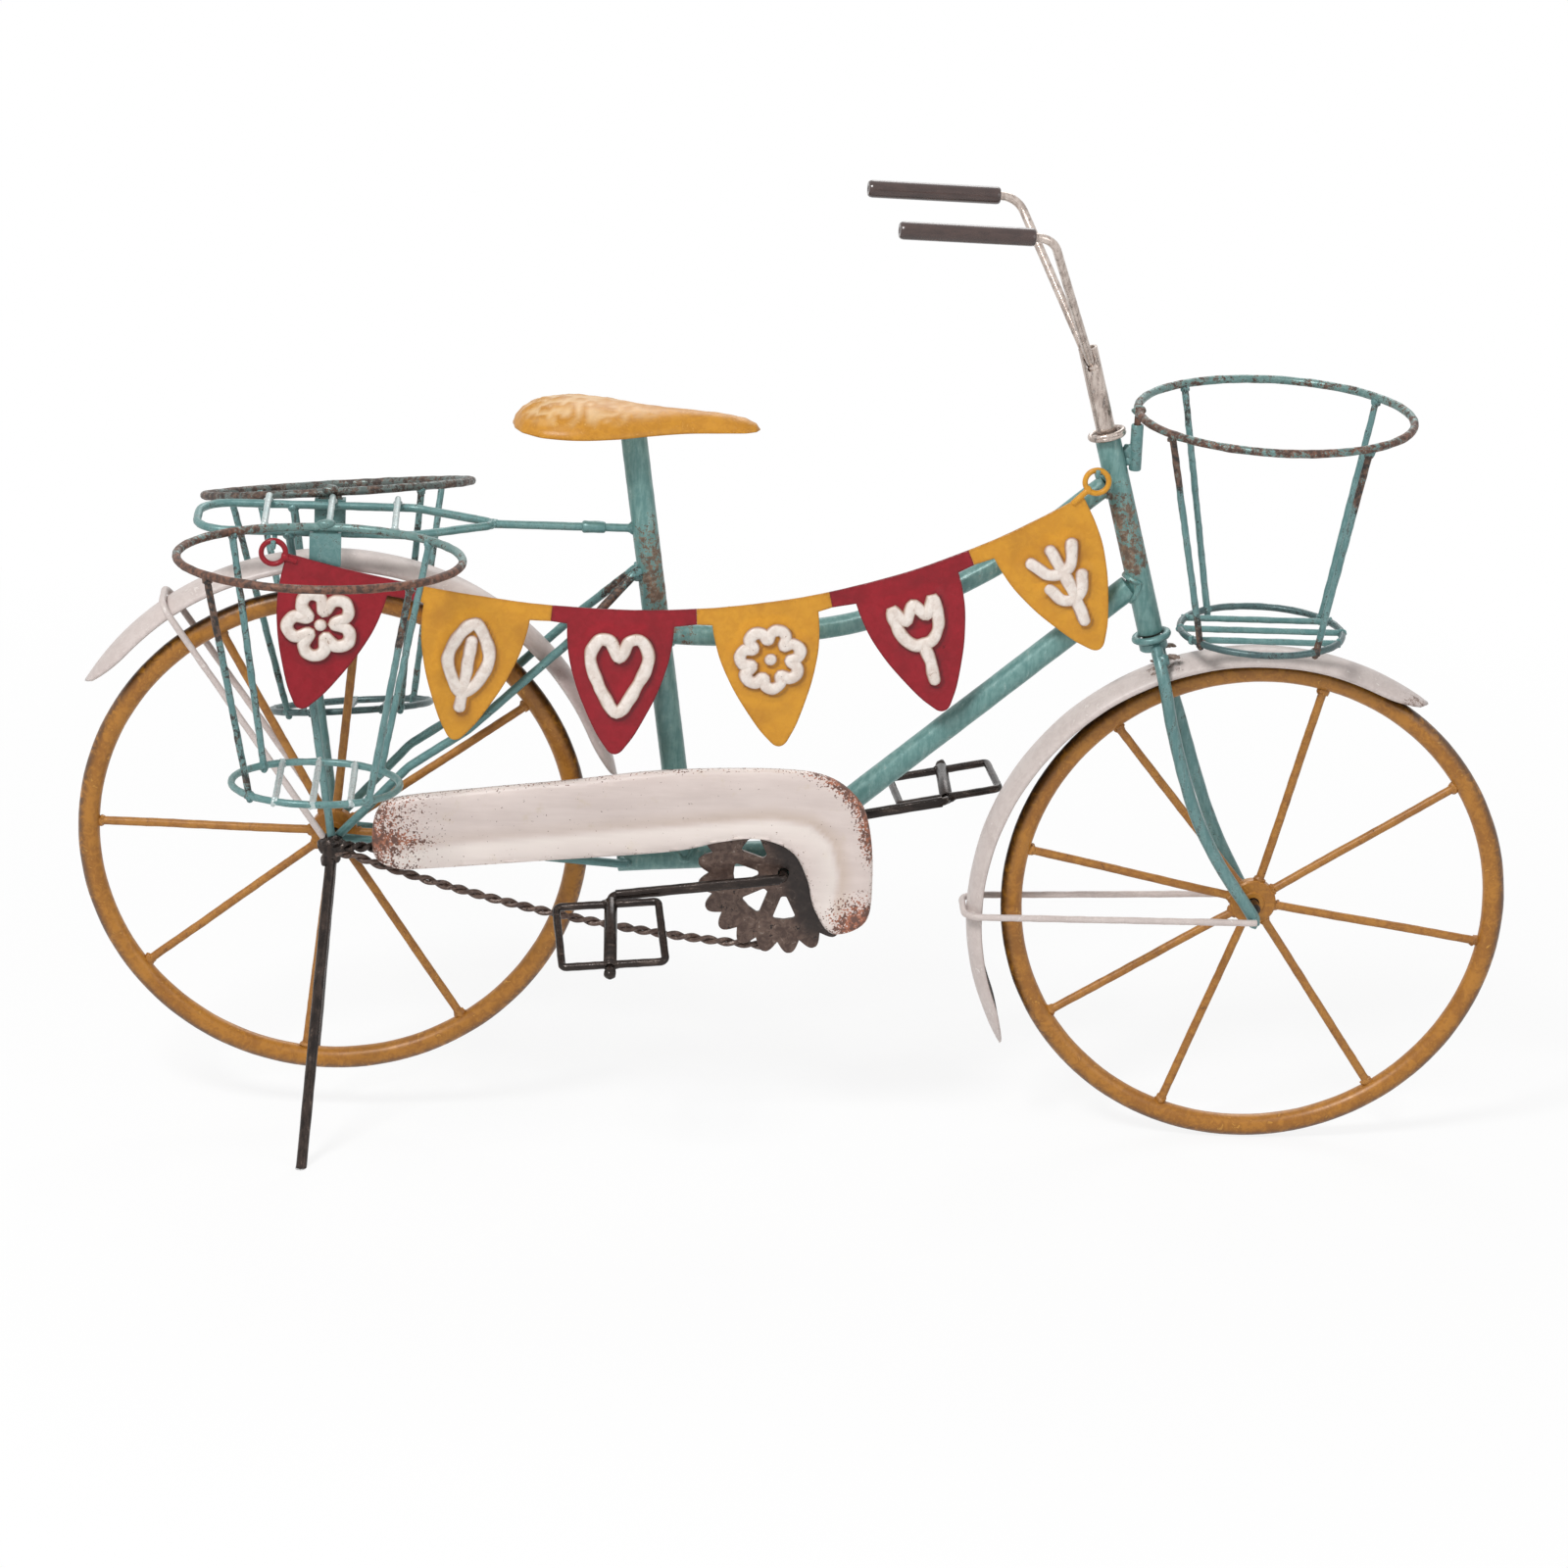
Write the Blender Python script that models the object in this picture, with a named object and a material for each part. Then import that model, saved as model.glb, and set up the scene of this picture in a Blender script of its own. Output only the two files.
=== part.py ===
"""Bicycle planter: a small painted-wire bicycle that carries three pot holders and a pennant garland.

The bicycle points along +X, its drive side faces -Y and the floor is z = 0. The front wheel and the
two stand legs rest on the floor, and the stand holds the rear wheel up. All sizes are in metres.
"""
from math import asin, atan2, ceil, cos, pi, radians, sin, sqrt, tau

import bmesh
import bpy
from mathutils import Matrix, Vector

for old in list(bpy.data.objects):
    bpy.data.objects.remove(old, do_unlink=True)

# Clearance and the overrun that lets a cutter pass right through
gap = 0.0003
overrun = 0.0030

# Wheels
wheels_apart = 0.1522
wheel_radius = 0.0932
wheelbase = wheels_apart + wheel_radius * 2
rim_wire = 0.0034
hub_radius = 0.0086
hub_half_width = 0.0030
spoke_wire = 0.0011
spoke_root = 0.0055
axle_radius = 0.0020
rear_lift = 0.0178
front_spoke_angles = (33, 76, 129, 168, 212, 250, 304, 351)
rear_spoke_angles = (36, 85, 119, 179, 218, 264, 304, 358)

# Head tube and steering
head_lean = radians(15.3)
crown_back = 0.0430
crown_over_wheel = 0.01483
crown_up = sqrt((wheel_radius + crown_over_wheel) ** 2 - crown_back ** 2)
crown_radius = 0.0052
crown_height = 0.0032
head_radius = 0.0046
head_bore = 0.0038
head_length = 0.0750
stem_radius = 0.0035
stem_bore = 0.0026
stem_rise = 0.0345
lower_ring_wire = 0.0013
lower_ring_radius = 0.0060
upper_ring_wire = 0.0012
upper_ring_radius = 0.0061

# Fork blades, as places ahead of the crown and down from it
blade_wire = 0.0023
blade_side = 0.0121
blade_splay = 0.0025
blade_top_side = 0.0030
blade_shoulder_drop = 0.0114
blade_ahead_share = (0.02, 0.11, 0.25, 0.46, 0.67, 0.95, 0.99)
blade_down_share = (0.00, 0.115, 0.32, 0.60, 0.80, 1.00, 1.05)

# Handlebar
bar_wire = 0.0016
bar_turn = radians(6.5)
bar_half_width = 0.0350
bar_rise = 0.0555
bar_back = 0.0238
bar_seat_depth = 0.0085
bar_root_bend = 0.0026
bar_bend = 0.0065
grip_radius = 0.0032
grip_length = 0.0480
grip_lift = 0.0022
grip_overlap = 0.0030

# Frame tubes
seat_radius = 0.0047
top_radius = 0.0039
down_radius = 0.0046
bottom_radius = 0.0046
bracket_ahead = 0.0708
bracket_drop = 0.0038
bracket_radius = 0.0034
bracket_left_half = 0.0168
bottom_back = 0.0600
bottom_nose = 0.0075
bottom_slope = radians(4)
seat_foot_back = 0.0355
seat_lean = radians(8.5)
saddle_rise = 0.1615
top_meets_head = 0.0150
down_meets_head = 0.0545
top_meets_seat = 0.0855
top_sag = 0.0220

# Chain stays and seat stays
stay_wire = 0.0016
chain_stay_side = 0.0072
seat_stay_side = 0.0115
seat_stay_spread = 0.0128
seat_stay_meet = 0.1090
seat_stay_land = radians(22)
seat_stay_ahead_share = (0.24, 0.43, 0.775)
seat_stay_up_share = (0.29, 0.435, 0.80)

# Rear carrier
rack_wire = 0.0015
rack_half_width = 0.0170
rack_rear = 0.0505
rack_front = 0.0270
rack_nose = 0.0545
rack_nose_radius = 0.0022
rack_corner = 0.0120
rack_over_fender = 0.0114
bar_collar_radius = 0.0022
bar_collar_length = 0.0070
bar_collar_place = 0.0880
cross_wire = 0.0012
cross_places = (-0.0260, -0.0030, 0.0205)
strut_wire = 0.0015
strut_side = 0.0150
strut_top_back = 0.0170

# Fenders
fender_half_width = 0.0095
fender_arch = 0.0045
fender_sheet = 0.0009
fender_tip_share = 0.45
fender_tip_length = 0.0120
rear_fender_room = 0.0121
rear_fender_rise = 0.0019
rear_fender_from = radians(12.5)
rear_fender_to = radians(149.5)
front_fender_room = 0.0105
front_fender_drop = 0.0051
front_fender_back = 0.0018
front_fender_from = radians(54)
front_fender_to = radians(211)
fender_stay_wire = 0.0011
fender_stay_side = 0.0142
fender_stay_corner = 0.0060
rear_stay_angle = radians(126)
front_stay_drop = 0.0035

# Stand
leg_wire = 0.0020
leg_top_side = 0.0153
leg_foot_side = 0.0535
leg_foot_back = 0.0080

# Saddle
saddle_length = 0.0885
saddle_half_width = 0.0220
saddle_height = 0.0095
saddle_sheet = 0.0012
saddle_back_share = 0.475
saddle_along_share = (0.000, 0.035, 0.120, 0.260, 0.420, 0.560, 0.700, 0.840, 0.940, 1.000)
saddle_width_share = (0.240, 0.600, 0.900, 1.000, 0.860, 0.600, 0.390, 0.290, 0.240, 0.110)
saddle_crown_share = (0.320, 0.620, 0.900, 1.000, 0.880, 0.740, 0.680, 0.560, 0.380, 0.200)

# Chain guard, outline as shares of its length and height from its low rear corner
guard_length = 0.1820
guard_height = 0.0640
guard_ahead = 0.0325
guard_below = 0.0238
guard_sheet = 0.0009
guard_depth = 0.0040
guard_bevel = 0.0032
guard_back = 0.0225
guard_along_share = (0.00, 0.01, 0.05, 0.22, 0.39, 0.58, 0.79, 0.90, 0.965, 0.99, 1.00, 0.99,
                     0.925, 0.885, 0.868, 0.835, 0.770, 0.690, 0.590, 0.320, 0.110, 0.050, 0.010)
guard_up_share = (0.52, 0.69, 0.77, 0.84, 0.90, 0.975, 1.00, 0.965, 0.83, 0.65, 0.36, 0.10,
                  0.02, 0.17, 0.35, 0.51, 0.58, 0.555, 0.49, 0.41, 0.35, 0.345, 0.40)
strip_height = 0.0038
strip_sheet = 0.0012
strip_length = 0.0320
strip_tail = 0.0018
strip_lift = 0.0005

# Chainring and chain
chainring_tip = 0.0312
chainring_root = 0.0269
chainring_teeth = 21
chainring_turn = radians(-6.8)
tooth_across_share = (0.00, 0.20, 0.40, 0.60, 0.80)
tooth_rise_share = (0.00, 0.55, 1.00, 1.00, 0.55)
chainring_sheet = 0.0016
chainring_side = 0.0213
chainring_windows = 8
first_window = 3
last_window = 6
window_inner = 0.0092
window_outer = 0.0181
window_turn = radians(3)
window_spoke = 0.0053
chain_half_width = 0.0016
chain_half_thick = 0.0010
chain_turn = 0.0062
chain_start_ahead = 0.0120
chain_end_behind = 0.0066
chain_sag = 0.0050

# Crank and pedals
crank_wire = 0.0015
crank_length = 0.0630
crank_right_pitch = radians(7.5)
crank_left_pitch = radians(11.5)
crank_left_side = 0.0260
crank_bend = 0.0022
spindle_play = 0.0006
spindle_droop = radians(24)
ball_radius = 0.0024
pedal_tube = 0.0024
pedal_wire = 0.0013
pedal_length = 0.0372
pedal_width = 0.0342
pedal_corner = 0.0020
pedal_lean = 0.0014

# Pot holders
holder_radius = 0.0496
holder_wire = 0.0015
holder_taper = 0.02009
holder_base_radius = holder_radius - holder_taper
holder_base_wire = 0.0013
holder_depth = 0.0810
holder_upright_wire = 0.0012
holder_bar_wire = 0.0012
holder_bar_offset = 0.0130
tab_width = 0.0082
tab_sheet = 0.0016
tab_length = 0.0122
sleeve_wall = 0.0012
sleeve_height = 0.0120
sleeve_place = -0.0040
right_tilt = radians(4.4)
left_tilt = radians(-14.5)
left_swing = radians(5)
rear_turn = radians(4)
front_turn = radians(9)
peg_wire = 0.0012
peg_length = 0.0150
front_sleeve_radius = 0.0022
front_sleeve_height = 0.0170
front_sleeve_below = 0.0115

# Garland
garland_sheet = 0.0009
garland_loop_radius = 0.0043
garland_loop_wire = 0.0010
garland_hook_wire = 0.0009
rear_hook_back = 0.0222
rear_hook_drop = 0.0013
rear_hook_reach = 0.0086
front_hook_down = 0.0119
front_hook_back = 0.0070
front_hook_side = 0.0096
hook_tip = 0.0026
hook_over = 0.0022
loop_to_sheet = 0.0048
rear_corner_drop = 0.0003
front_corner_drop = 0.0052
garland_sag = 0.0319
garland_skew = 0.36
pennant_count = 6
pennant_width = 0.0385
pennant_drop = 0.0550
strip_band = 0.0058
pennant_side_share = (0.500, 0.465, 0.400, 0.325, 0.190, 0.060)
pennant_drop_share = (0.105, 0.350, 0.510, 0.646, 0.843, 0.975)

teal = (0.20, 0.42, 0.41)
mustard = (0.52, 0.30, 0.05)
garland_yellow = (0.70, 0.40, 0.05)
silver = (0.62, 0.60, 0.58)
dark_iron = (0.045, 0.036, 0.032)
cream = (0.74, 0.70, 0.62)

drive = -1
plain = 1

rear_hub = Vector((-wheelbase / 2, 0, wheel_radius + rear_lift))
front_hub = Vector((wheelbase / 2, 0, wheel_radius))
bracket = rear_hub + Vector((wheel_radius + bracket_ahead, 0, -bracket_drop))
head_axis = Vector((-sin(head_lean), 0, cos(head_lean)))
crown = front_hub + Vector((-crown_back, 0, crown_up))
lateral = Vector((0, 1, 0))
upward = Vector((0, 0, 1))
forward = Vector((1, 0, 0))

# Half widths that follow from the guard, the chainring and the wires' clearances
strip_outside = guard_back - gap
rear_axle_half = strip_outside - strip_sheet - gap
bracket_right_half = chainring_side - chainring_sheet / 2 - gap
guard_face = guard_back + guard_depth
crank_right_side = guard_face + gap * 2 + crank_wire


def material(name, colour, roughness, metallic):
    made = bpy.data.materials.new(name)
    made.use_nodes = True
    shader = made.node_tree.nodes["Principled BSDF"]
    shader.inputs["Base Color"].default_value = (*colour, 1)
    shader.inputs["Roughness"].default_value = roughness
    shader.inputs["Metallic"].default_value = metallic
    return made


def fill(bm, loops):
    """Closes each loop of corners with flat triangles."""
    faces = [bm.faces.new(loop) for loop in loops]
    bm.normal_update()
    bmesh.ops.triangulate(bm, faces=faces, ngon_method="EAR_CLIP")


def dress(thing, colour, roughness=0.55, metallic=0.3):
    thing.data.materials.clear()
    thing.data.materials.append(material(thing.name, colour, roughness, metallic))
    thing.data.shade_smooth()
    thing.data.set_sharp_from_angle(angle=radians(40))
    return thing


def add(name, bm):
    """A new object from a bmesh, its faces turned outward."""
    bmesh.ops.recalc_face_normals(bm, faces=bm.faces)
    mesh = bpy.data.meshes.new(name)
    bm.to_mesh(mesh)
    bm.free()
    thing = bpy.data.objects.new(name, mesh)
    bpy.context.scene.collection.objects.link(thing)
    return thing


def combine(base, others, operation="UNION"):
    """Joins or cuts the base with the others, which are used up."""
    for other in others:
        change = base.modifiers.new(other.name, "BOOLEAN")
        change.operation = operation
        change.solver = "EXACT"
        change.object = other
    bpy.context.view_layer.update()
    graph = bpy.context.evaluated_depsgraph_get()
    mesh = bpy.data.meshes.new_from_object(base.evaluated_get(graph))
    base.modifiers.clear()
    base.data = mesh
    for other in others:
        bpy.data.objects.remove(other, do_unlink=True)
    return base


def cut(base, others):
    return combine(base, others, "DIFFERENCE")


def settle(thing, pivot):
    """Moves the object's origin to a world point without moving its shape."""
    thing.data.transform(Matrix.Translation(-pivot))
    thing.location = pivot
    return thing


def across(direction):
    """Two unit vectors square to a direction and to each other."""
    side = direction.cross(upward)
    if side.length < 0.2:
        side = direction.cross(forward)
    side.normalize()
    return side, side.cross(direction).normalized()


def sweep(name, points, radius, sides=8, closed=False, section=None, twist=0.0):
    """A round wire along the points, or a flat section turned by twist at each step."""
    count = len(points)
    tangents = []
    for index in range(count):
        before = points[index - 1] if closed or index else points[index]
        after = points[(index + 1) % count] if closed or index < count - 1 else points[index]
        tangents.append((after - before).normalized())
    side = across(tangents[0])[0]
    bm = bmesh.new()
    rings = []
    for index in range(count):
        tangent = tangents[index]
        side = (side - tangent * side.dot(tangent)).normalized()
        other = tangent.cross(side)
        ring = []
        for corner in range(sides):
            angle = tau * (corner + 0.5) / sides
            wide, thick = (radius, radius) if section is None else section
            a, b = wide * cos(angle), thick * sin(angle)
            turn = twist * index
            u, v = a * cos(turn) - b * sin(turn), a * sin(turn) + b * cos(turn)
            ring.append(bm.verts.new(points[index] + side * u + other * v))
        rings.append(ring)
    last = count if closed else count - 1
    for index in range(last):
        low, high = rings[index], rings[(index + 1) % count]
        for corner in range(sides):
            nxt = (corner + 1) % sides
            bm.faces.new((low[corner], low[nxt], high[nxt], high[corner]))
    if not closed:
        bm.faces.new(rings[0][::-1])
        bm.faces.new(rings[-1])
    return add(name, bm)


def rounded(points, radius, steps=4, closed=False):
    """The polyline with each inner corner turned into an arc."""
    out = []
    count = len(points)
    for index, point in enumerate(points):
        if not closed and index in (0, count - 1):
            out.append(point.copy())
            continue
        back = points[index - 1] - point
        ahead = points[(index + 1) % count] - point
        opening = back.angle(ahead)
        if pi - opening < radians(2):
            out.append(point.copy())
            continue
        reach = min(radius / abs(sin(opening / 2) / cos(opening / 2)),
                    back.length * 0.49, ahead.length * 0.49)
        true_radius = reach * sin(opening / 2) / cos(opening / 2)
        start = point + back.normalized() * reach
        middle = (back.normalized() + ahead.normalized()).normalized()
        centre = point + middle * (true_radius / sin(opening / 2))
        first = start - centre
        normal = back.cross(ahead).normalized()
        sweep_angle = pi - opening
        for step in range(steps + 1):
            turned = Matrix.Rotation(-sweep_angle * step / steps, 3, normal) @ first
            out.append(centre + turned)
    return out


def flowing(points, steps=4):
    """A smooth curve through the points."""
    padded = [points[0] * 2 - points[1], *points, points[-1] * 2 - points[-2]]
    out = []
    for index in range(1, len(padded) - 2):
        p0, p1, p2, p3 = padded[index - 1:index + 3]
        for step in range(steps):
            t = step / steps
            out.append((p1 * 2 + (p2 - p0) * t + (p0 * 2 - p1 * 5 + p2 * 4 - p3) * t ** 2
                        + (p1 * 3 - p0 - p2 * 3 + p3) * t ** 3) / 2)
    out.append(padded[-2].copy())
    return out


def circle(centre, axis, radius, steps):
    side, other = across(axis)
    return [centre + side * (radius * cos(tau * k / steps)) + other * (radius * sin(tau * k / steps))
            for k in range(steps)]


def ring(name, centre, axis, radius, wire, steps, sides=8):
    return sweep(name, circle(centre, axis, radius, steps), wire, sides, closed=True)


def rod(name, start, end, radius, sides=16):
    return sweep(name, [start, end], radius, sides)


def pipe(name, start, end, radius, bore, sides=16):
    """A straight tube with an open bore."""
    outer = rod(name, start, end, radius, sides)
    along = (end - start).normalized() * overrun
    return cut(outer, [rod("bore", start - along, end + along, bore, sides)])


def slab(name, centre, half, turn=None):
    """A block with the given half sizes."""
    bm = bmesh.new()
    bmesh.ops.create_cube(bm, size=2)
    bmesh.ops.scale(bm, vec=half, verts=bm.verts)
    if turn is not None:
        bmesh.ops.rotate(bm, cent=(0, 0, 0), matrix=turn, verts=bm.verts)
    bmesh.ops.translate(bm, vec=centre, verts=bm.verts)
    return add(name, bm)


def plate(name, outline, push):
    """A flat sheet: the outline's points and the same points moved by push."""
    bm = bmesh.new()
    first = [bm.verts.new(point) for point in outline]
    second = [bm.verts.new(point + push) for point in outline]
    for index in range(len(outline)):
        nxt = (index + 1) % len(outline)
        bm.faces.new((first[index], first[nxt], second[nxt], second[index]))
    fill(bm, (first[::-1], second))
    return add(name, bm)


def bead(name, centre, radius):
    bm = bmesh.new()
    bmesh.ops.create_uvsphere(bm, u_segments=10, v_segments=6, radius=radius,
                              matrix=Matrix.Translation(centre))
    return add(name, bm)


def on_head(distance):
    """The point on the steering axis at a distance above the crown."""
    return crown + head_axis * distance


# Wheels: a rim, and a hub with eight spokes that stop just inside the rim
def wheel(prefix, hub, angles):
    rim_radius = wheel_radius - rim_wire
    rim = ring(prefix + "_rim", hub, lateral, rim_radius, rim_wire, 48)
    dress(settle(rim, hub), mustard, 0.5, 0.2)
    body = rod(prefix + "_hub_spokes", hub - lateral * hub_half_width, hub + lateral * hub_half_width,
               hub_radius, 24)
    reach = (wheel_radius - rim_wire * 2) * cos(pi / 48) - gap
    spokes = []
    for angle in angles:
        way = Vector((cos(radians(angle)), 0, sin(radians(angle))))
        spokes.append(rod("spoke", hub + way * spoke_root, hub + way * reach, spoke_wire, 6))
    combine(body, spokes)
    bore = rod("bore", hub - lateral * (hub_half_width + overrun),
               hub + lateral * (hub_half_width + overrun), axle_radius + gap, 12)
    cut(body, [bore])
    dress(settle(body, hub), mustard, 0.5, 0.2)


wheel("front_wheel", front_hub, front_spoke_angles)
wheel("rear_wheel", rear_hub, rear_spoke_angles)
rear_axle = rod("rear_axle", rear_hub - lateral * rear_axle_half, rear_hub + lateral * rear_axle_half,
                axle_radius, 12)
dress(rear_axle, dark_iron)
front_axle_half = blade_side - blade_wire - gap
front_axle = rod("front_axle", front_hub - lateral * front_axle_half,
                 front_hub + lateral * front_axle_half, axle_radius, 12)
dress(settle(front_axle, crown), dark_iron)

# Head tube between the two rings, its length along the steering axis
lower_ring_at = crown_height / 4 + gap + lower_ring_wire
head_foot = lower_ring_at + lower_ring_wire + gap
head_top = head_foot + head_length
upper_ring_at = head_top + gap + upper_ring_wire
stem_foot = crown_height / 4 + gap
stem_top = head_top + stem_rise
head_tube = pipe("head_tube", on_head(head_foot), on_head(head_top), head_radius, head_bore)
dress(head_tube, teal)
lower_ring = ring("lower_ring", on_head(lower_ring_at), head_axis, lower_ring_radius,
                  lower_ring_wire, 20)
dress(settle(lower_ring, crown), teal)
upper_ring = ring("upper_ring", on_head(upper_ring_at), head_axis, upper_ring_radius,
                  upper_ring_wire, 20)
dress(settle(upper_ring, crown), silver, 0.35, 0.9)

# Fork: a crown with two blades that bow out round the fender and end just below the axle. The drive
# side's blade is bent a little further back than the other.
fork = rod("fork", on_head(-crown_height * 3 / 4), on_head(crown_height / 4), crown_radius, 16)
blades = []
for hand in (drive, plain):
    route = []
    for index in range(len(blade_ahead_share)):
        side = blade_top_side if index == 0 else blade_side
        drop = blade_shoulder_drop if index == 1 else crown_up * blade_down_share[index]
        ahead = hand * blade_splay * sin(pi * min(blade_down_share[index], 1))
        route.append(Vector((crown.x + crown_back * blade_ahead_share[index] + ahead, hand * side,
                             crown.z - drop)))
    blades.append(sweep("blade", flowing(route, 3), blade_wire, 8))
combine(fork, blades)
dress(settle(fork, crown), teal)

# Handlebar: one wire, bent to a narrow V that sits in the slot of the stem, then back to the grips
bar_root = on_head(stem_top - bar_seat_depth)
bar_way = Vector((-bar_back, 0, bar_rise))
bar_frame = (Matrix.Translation(crown) @ Matrix.Rotation(bar_turn, 4, head_axis)
             @ Matrix.Translation(-crown))
grip_way = Vector((-grip_length, 0, grip_lift)).normalized()
corner_right = bar_root + bar_way + lateral * (drive * bar_half_width)
corner_left = bar_root + bar_way + lateral * (plain * bar_half_width)
grip_start = bar_bend
bar_reach = grip_way * (grip_start + grip_length - grip_overlap)
bar_route = [corner_right + bar_reach, corner_right, bar_root, corner_left, corner_left + bar_reach]
bar_line = [bar_route[0], *rounded(bar_route[:3], bar_bend)[1:-1],
            *rounded(bar_route[1:4], bar_root_bend, 6)[1:-1],
            *rounded(bar_route[2:], bar_bend)[1:-1], bar_route[-1]]
handlebar = sweep("handlebar", bar_line, bar_wire, 8)
handlebar.data.transform(bar_frame)
dress(settle(handlebar, crown), silver, 0.3, 0.9)
for name, corner in (("grip_right", corner_right), ("grip_left", corner_left)):
    start = corner + grip_way * grip_start
    end = start + grip_way * grip_length
    grip = rod(name, start, end, grip_radius, 12)
    hole = rod("hole", start - grip_way * overrun, end - grip_way * (grip_overlap - gap),
               bar_wire + gap, 8)
    cut(grip, [hole])
    grip.data.transform(bar_frame)
    dress(settle(grip, crown), dark_iron, 0.6, 0.0)

# Stem: the silver tube that turns in the head tube, with a slot that the handlebar's V sits in
stem = pipe("stem", on_head(stem_foot), on_head(stem_top), stem_radius, stem_bore)
slot_lean = Matrix.Rotation(-atan2(bar_back, bar_rise), 3, "Y")
slot_up = slot_lean @ upward
slot_half = Vector((bar_wire + gap, stem_radius + overrun, bar_seat_depth + overrun))
root_rise = bar_root_bend * (1 / sin(atan2(bar_half_width, bar_way.length)) - 1)
slot_floor = bar_root + slot_up * (root_rise - bar_wire - gap)
slot = slab("slot", slot_floor + slot_up * slot_half.z, slot_half, slot_lean)
slot.data.transform(bar_frame)
cut(stem, [slot])
dress(settle(stem, crown), silver, 0.35, 0.9)

# Bottom tube with the cross tube that the crank turns in
bottom_way = Vector((cos(bottom_slope), 0, sin(bottom_slope)))
bottom_tube = rod("bottom_tube", bracket - bottom_way * bottom_back, bracket + bottom_way * bottom_nose,
                  bottom_radius)
cross_right = bracket - lateral * bracket_right_half
cross_left = bracket + lateral * bracket_left_half
cross_tube = rod("cross_tube", cross_right, cross_left, bracket_radius, 12)
combine(bottom_tube, [cross_tube])
crank_bore = rod("crank_bore", cross_right - lateral * overrun, cross_left + lateral * overrun,
                 crank_wire + gap, 8)
cut(bottom_tube, [crank_bore])
dress(bottom_tube, teal)

# Seat tube, cut to the bottom tube, and the main tubes, cut to the tubes that they meet
seat_foot = bracket - bottom_way * seat_foot_back
seat_way = Vector((-sin(seat_lean), 0, cos(seat_lean)))
saddle_rim_height = rear_hub.z + saddle_rise - saddle_height / 2


def read_share(place, places, values):
    """The value at a place between the listed places."""
    for low in range(len(places) - 1):
        if place <= places[low + 1]:
            part = (place - places[low]) / (places[low + 1] - places[low])
            return values[low] + (values[low + 1] - values[low]) * part
    return values[-1]


def saddle_top(share, side):
    """The height of the saddle's upper skin, at a share of its length and a distance to one side."""
    half = saddle_half_width * read_share(share, saddle_along_share, saddle_width_share)
    crown_now = saddle_height * read_share(share, saddle_along_share, saddle_crown_share)
    return saddle_rim_height + crown_now * max(1 - (side / half) ** 2, 0) ** 0.6


# The tube's cap has to clear the saddle's inner skin at its front edge and at its sides
cap_front_share = saddle_back_share + seat_radius / saddle_length
seat_top_height = saddle_top(cap_front_share, seat_radius) - saddle_sheet - gap
seat_length = (seat_top_height - seat_foot.z) / cos(seat_lean)


def on_seat(height):
    """The point on the seat tube's axis at a height above the bottom tube."""
    return seat_foot + seat_way * (height / cos(seat_lean))


seat_top = seat_foot + seat_way * (seat_length - seat_radius * sin(seat_lean))
seat_tube = rod("seat_tube", seat_foot, seat_top, seat_radius)
bottom_shell = rod("shell", bracket - bottom_way * (bottom_back + overrun),
                   bracket + bottom_way * (bottom_nose + overrun), bottom_radius + gap)
cut(seat_tube, [bottom_shell])
dress(seat_tube, teal)


def head_shell():
    return rod("shell", on_head(head_foot - overrun), on_head(head_top + overrun), head_radius + gap)


def seat_shell():
    return rod("shell", seat_foot, seat_top, seat_radius + gap)


down_start = on_head(head_top - down_meets_head)
down_tube = rod("down_tube", down_start, bracket, down_radius)
bottom_shell = rod("shell", bracket - bottom_way * bottom_back, bracket + bottom_way * (
    bottom_nose + overrun), bottom_radius + gap)
bracket_shell = rod("shell", cross_right, cross_left, bracket_radius + gap, 12)
cut(down_tube, [head_shell(), bottom_shell, bracket_shell])
dress(down_tube, teal)

top_start = on_head(head_top - top_meets_head)
top_end = on_seat(top_meets_seat)
top_span = top_start - top_end
top_route = [top_start]
for share, sag_share in ((0.73, 0.84), (0.46, 1.00), (0.20, 0.56)):
    top_route.append(top_end + top_span * share - upward * (top_sag * sag_share))
top_route.append(top_end)
top_tube = sweep("top_tube", flowing(top_route, 4), top_radius, 12)
cut(top_tube, [head_shell(), seat_shell()])
dress(top_tube, teal)

# Chain stays and seat stays, each from just off the axle to the tube that it is welded to
def off_axle(root, way, wire):
    """The first point of a wire that leaves the axle's side in a direction, just clear of the axle."""
    slope = abs(way.dot(lateral))
    return root + way * ((axle_radius + gap + wire * slope) / sqrt(1 - slope ** 2))


bottom_rear = bracket - bottom_way * bottom_back
seat_rear = Vector((-cos(seat_lean), 0, -sin(seat_lean)))
for name, hand in (("right", drive), ("left", plain)):
    stay_end = bottom_rear + bottom_way * overrun + lateral * (
        hand * (bottom_radius + gap + stay_wire))
    root = rear_hub + lateral * (hand * chain_stay_side)
    way = (stay_end - root).normalized()
    dress(rod("chain_stay_" + name, off_axle(root, way, stay_wire), stay_end, stay_wire, 8), teal)
    target = on_seat(seat_stay_meet)
    touch = target + (seat_rear * cos(seat_stay_land) + lateral * (hand * sin(seat_stay_land))) * (
        seat_radius + gap + stay_wire)
    root = rear_hub + lateral * (hand * seat_stay_side)
    rise = target - rear_hub
    route = [root]
    for ahead_share, up_share in zip(seat_stay_ahead_share, seat_stay_up_share):
        route.append(rear_hub + Vector((rise.x * ahead_share, hand * seat_stay_spread,
                                        rise.z * up_share)))
    route.append(touch)
    route[0] = off_axle(root, (route[1] - root).normalized(), stay_wire)
    dress(sweep("seat_stay_" + name, rounded(route, seat_stay_spread, 3), stay_wire, 8), teal)

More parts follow.
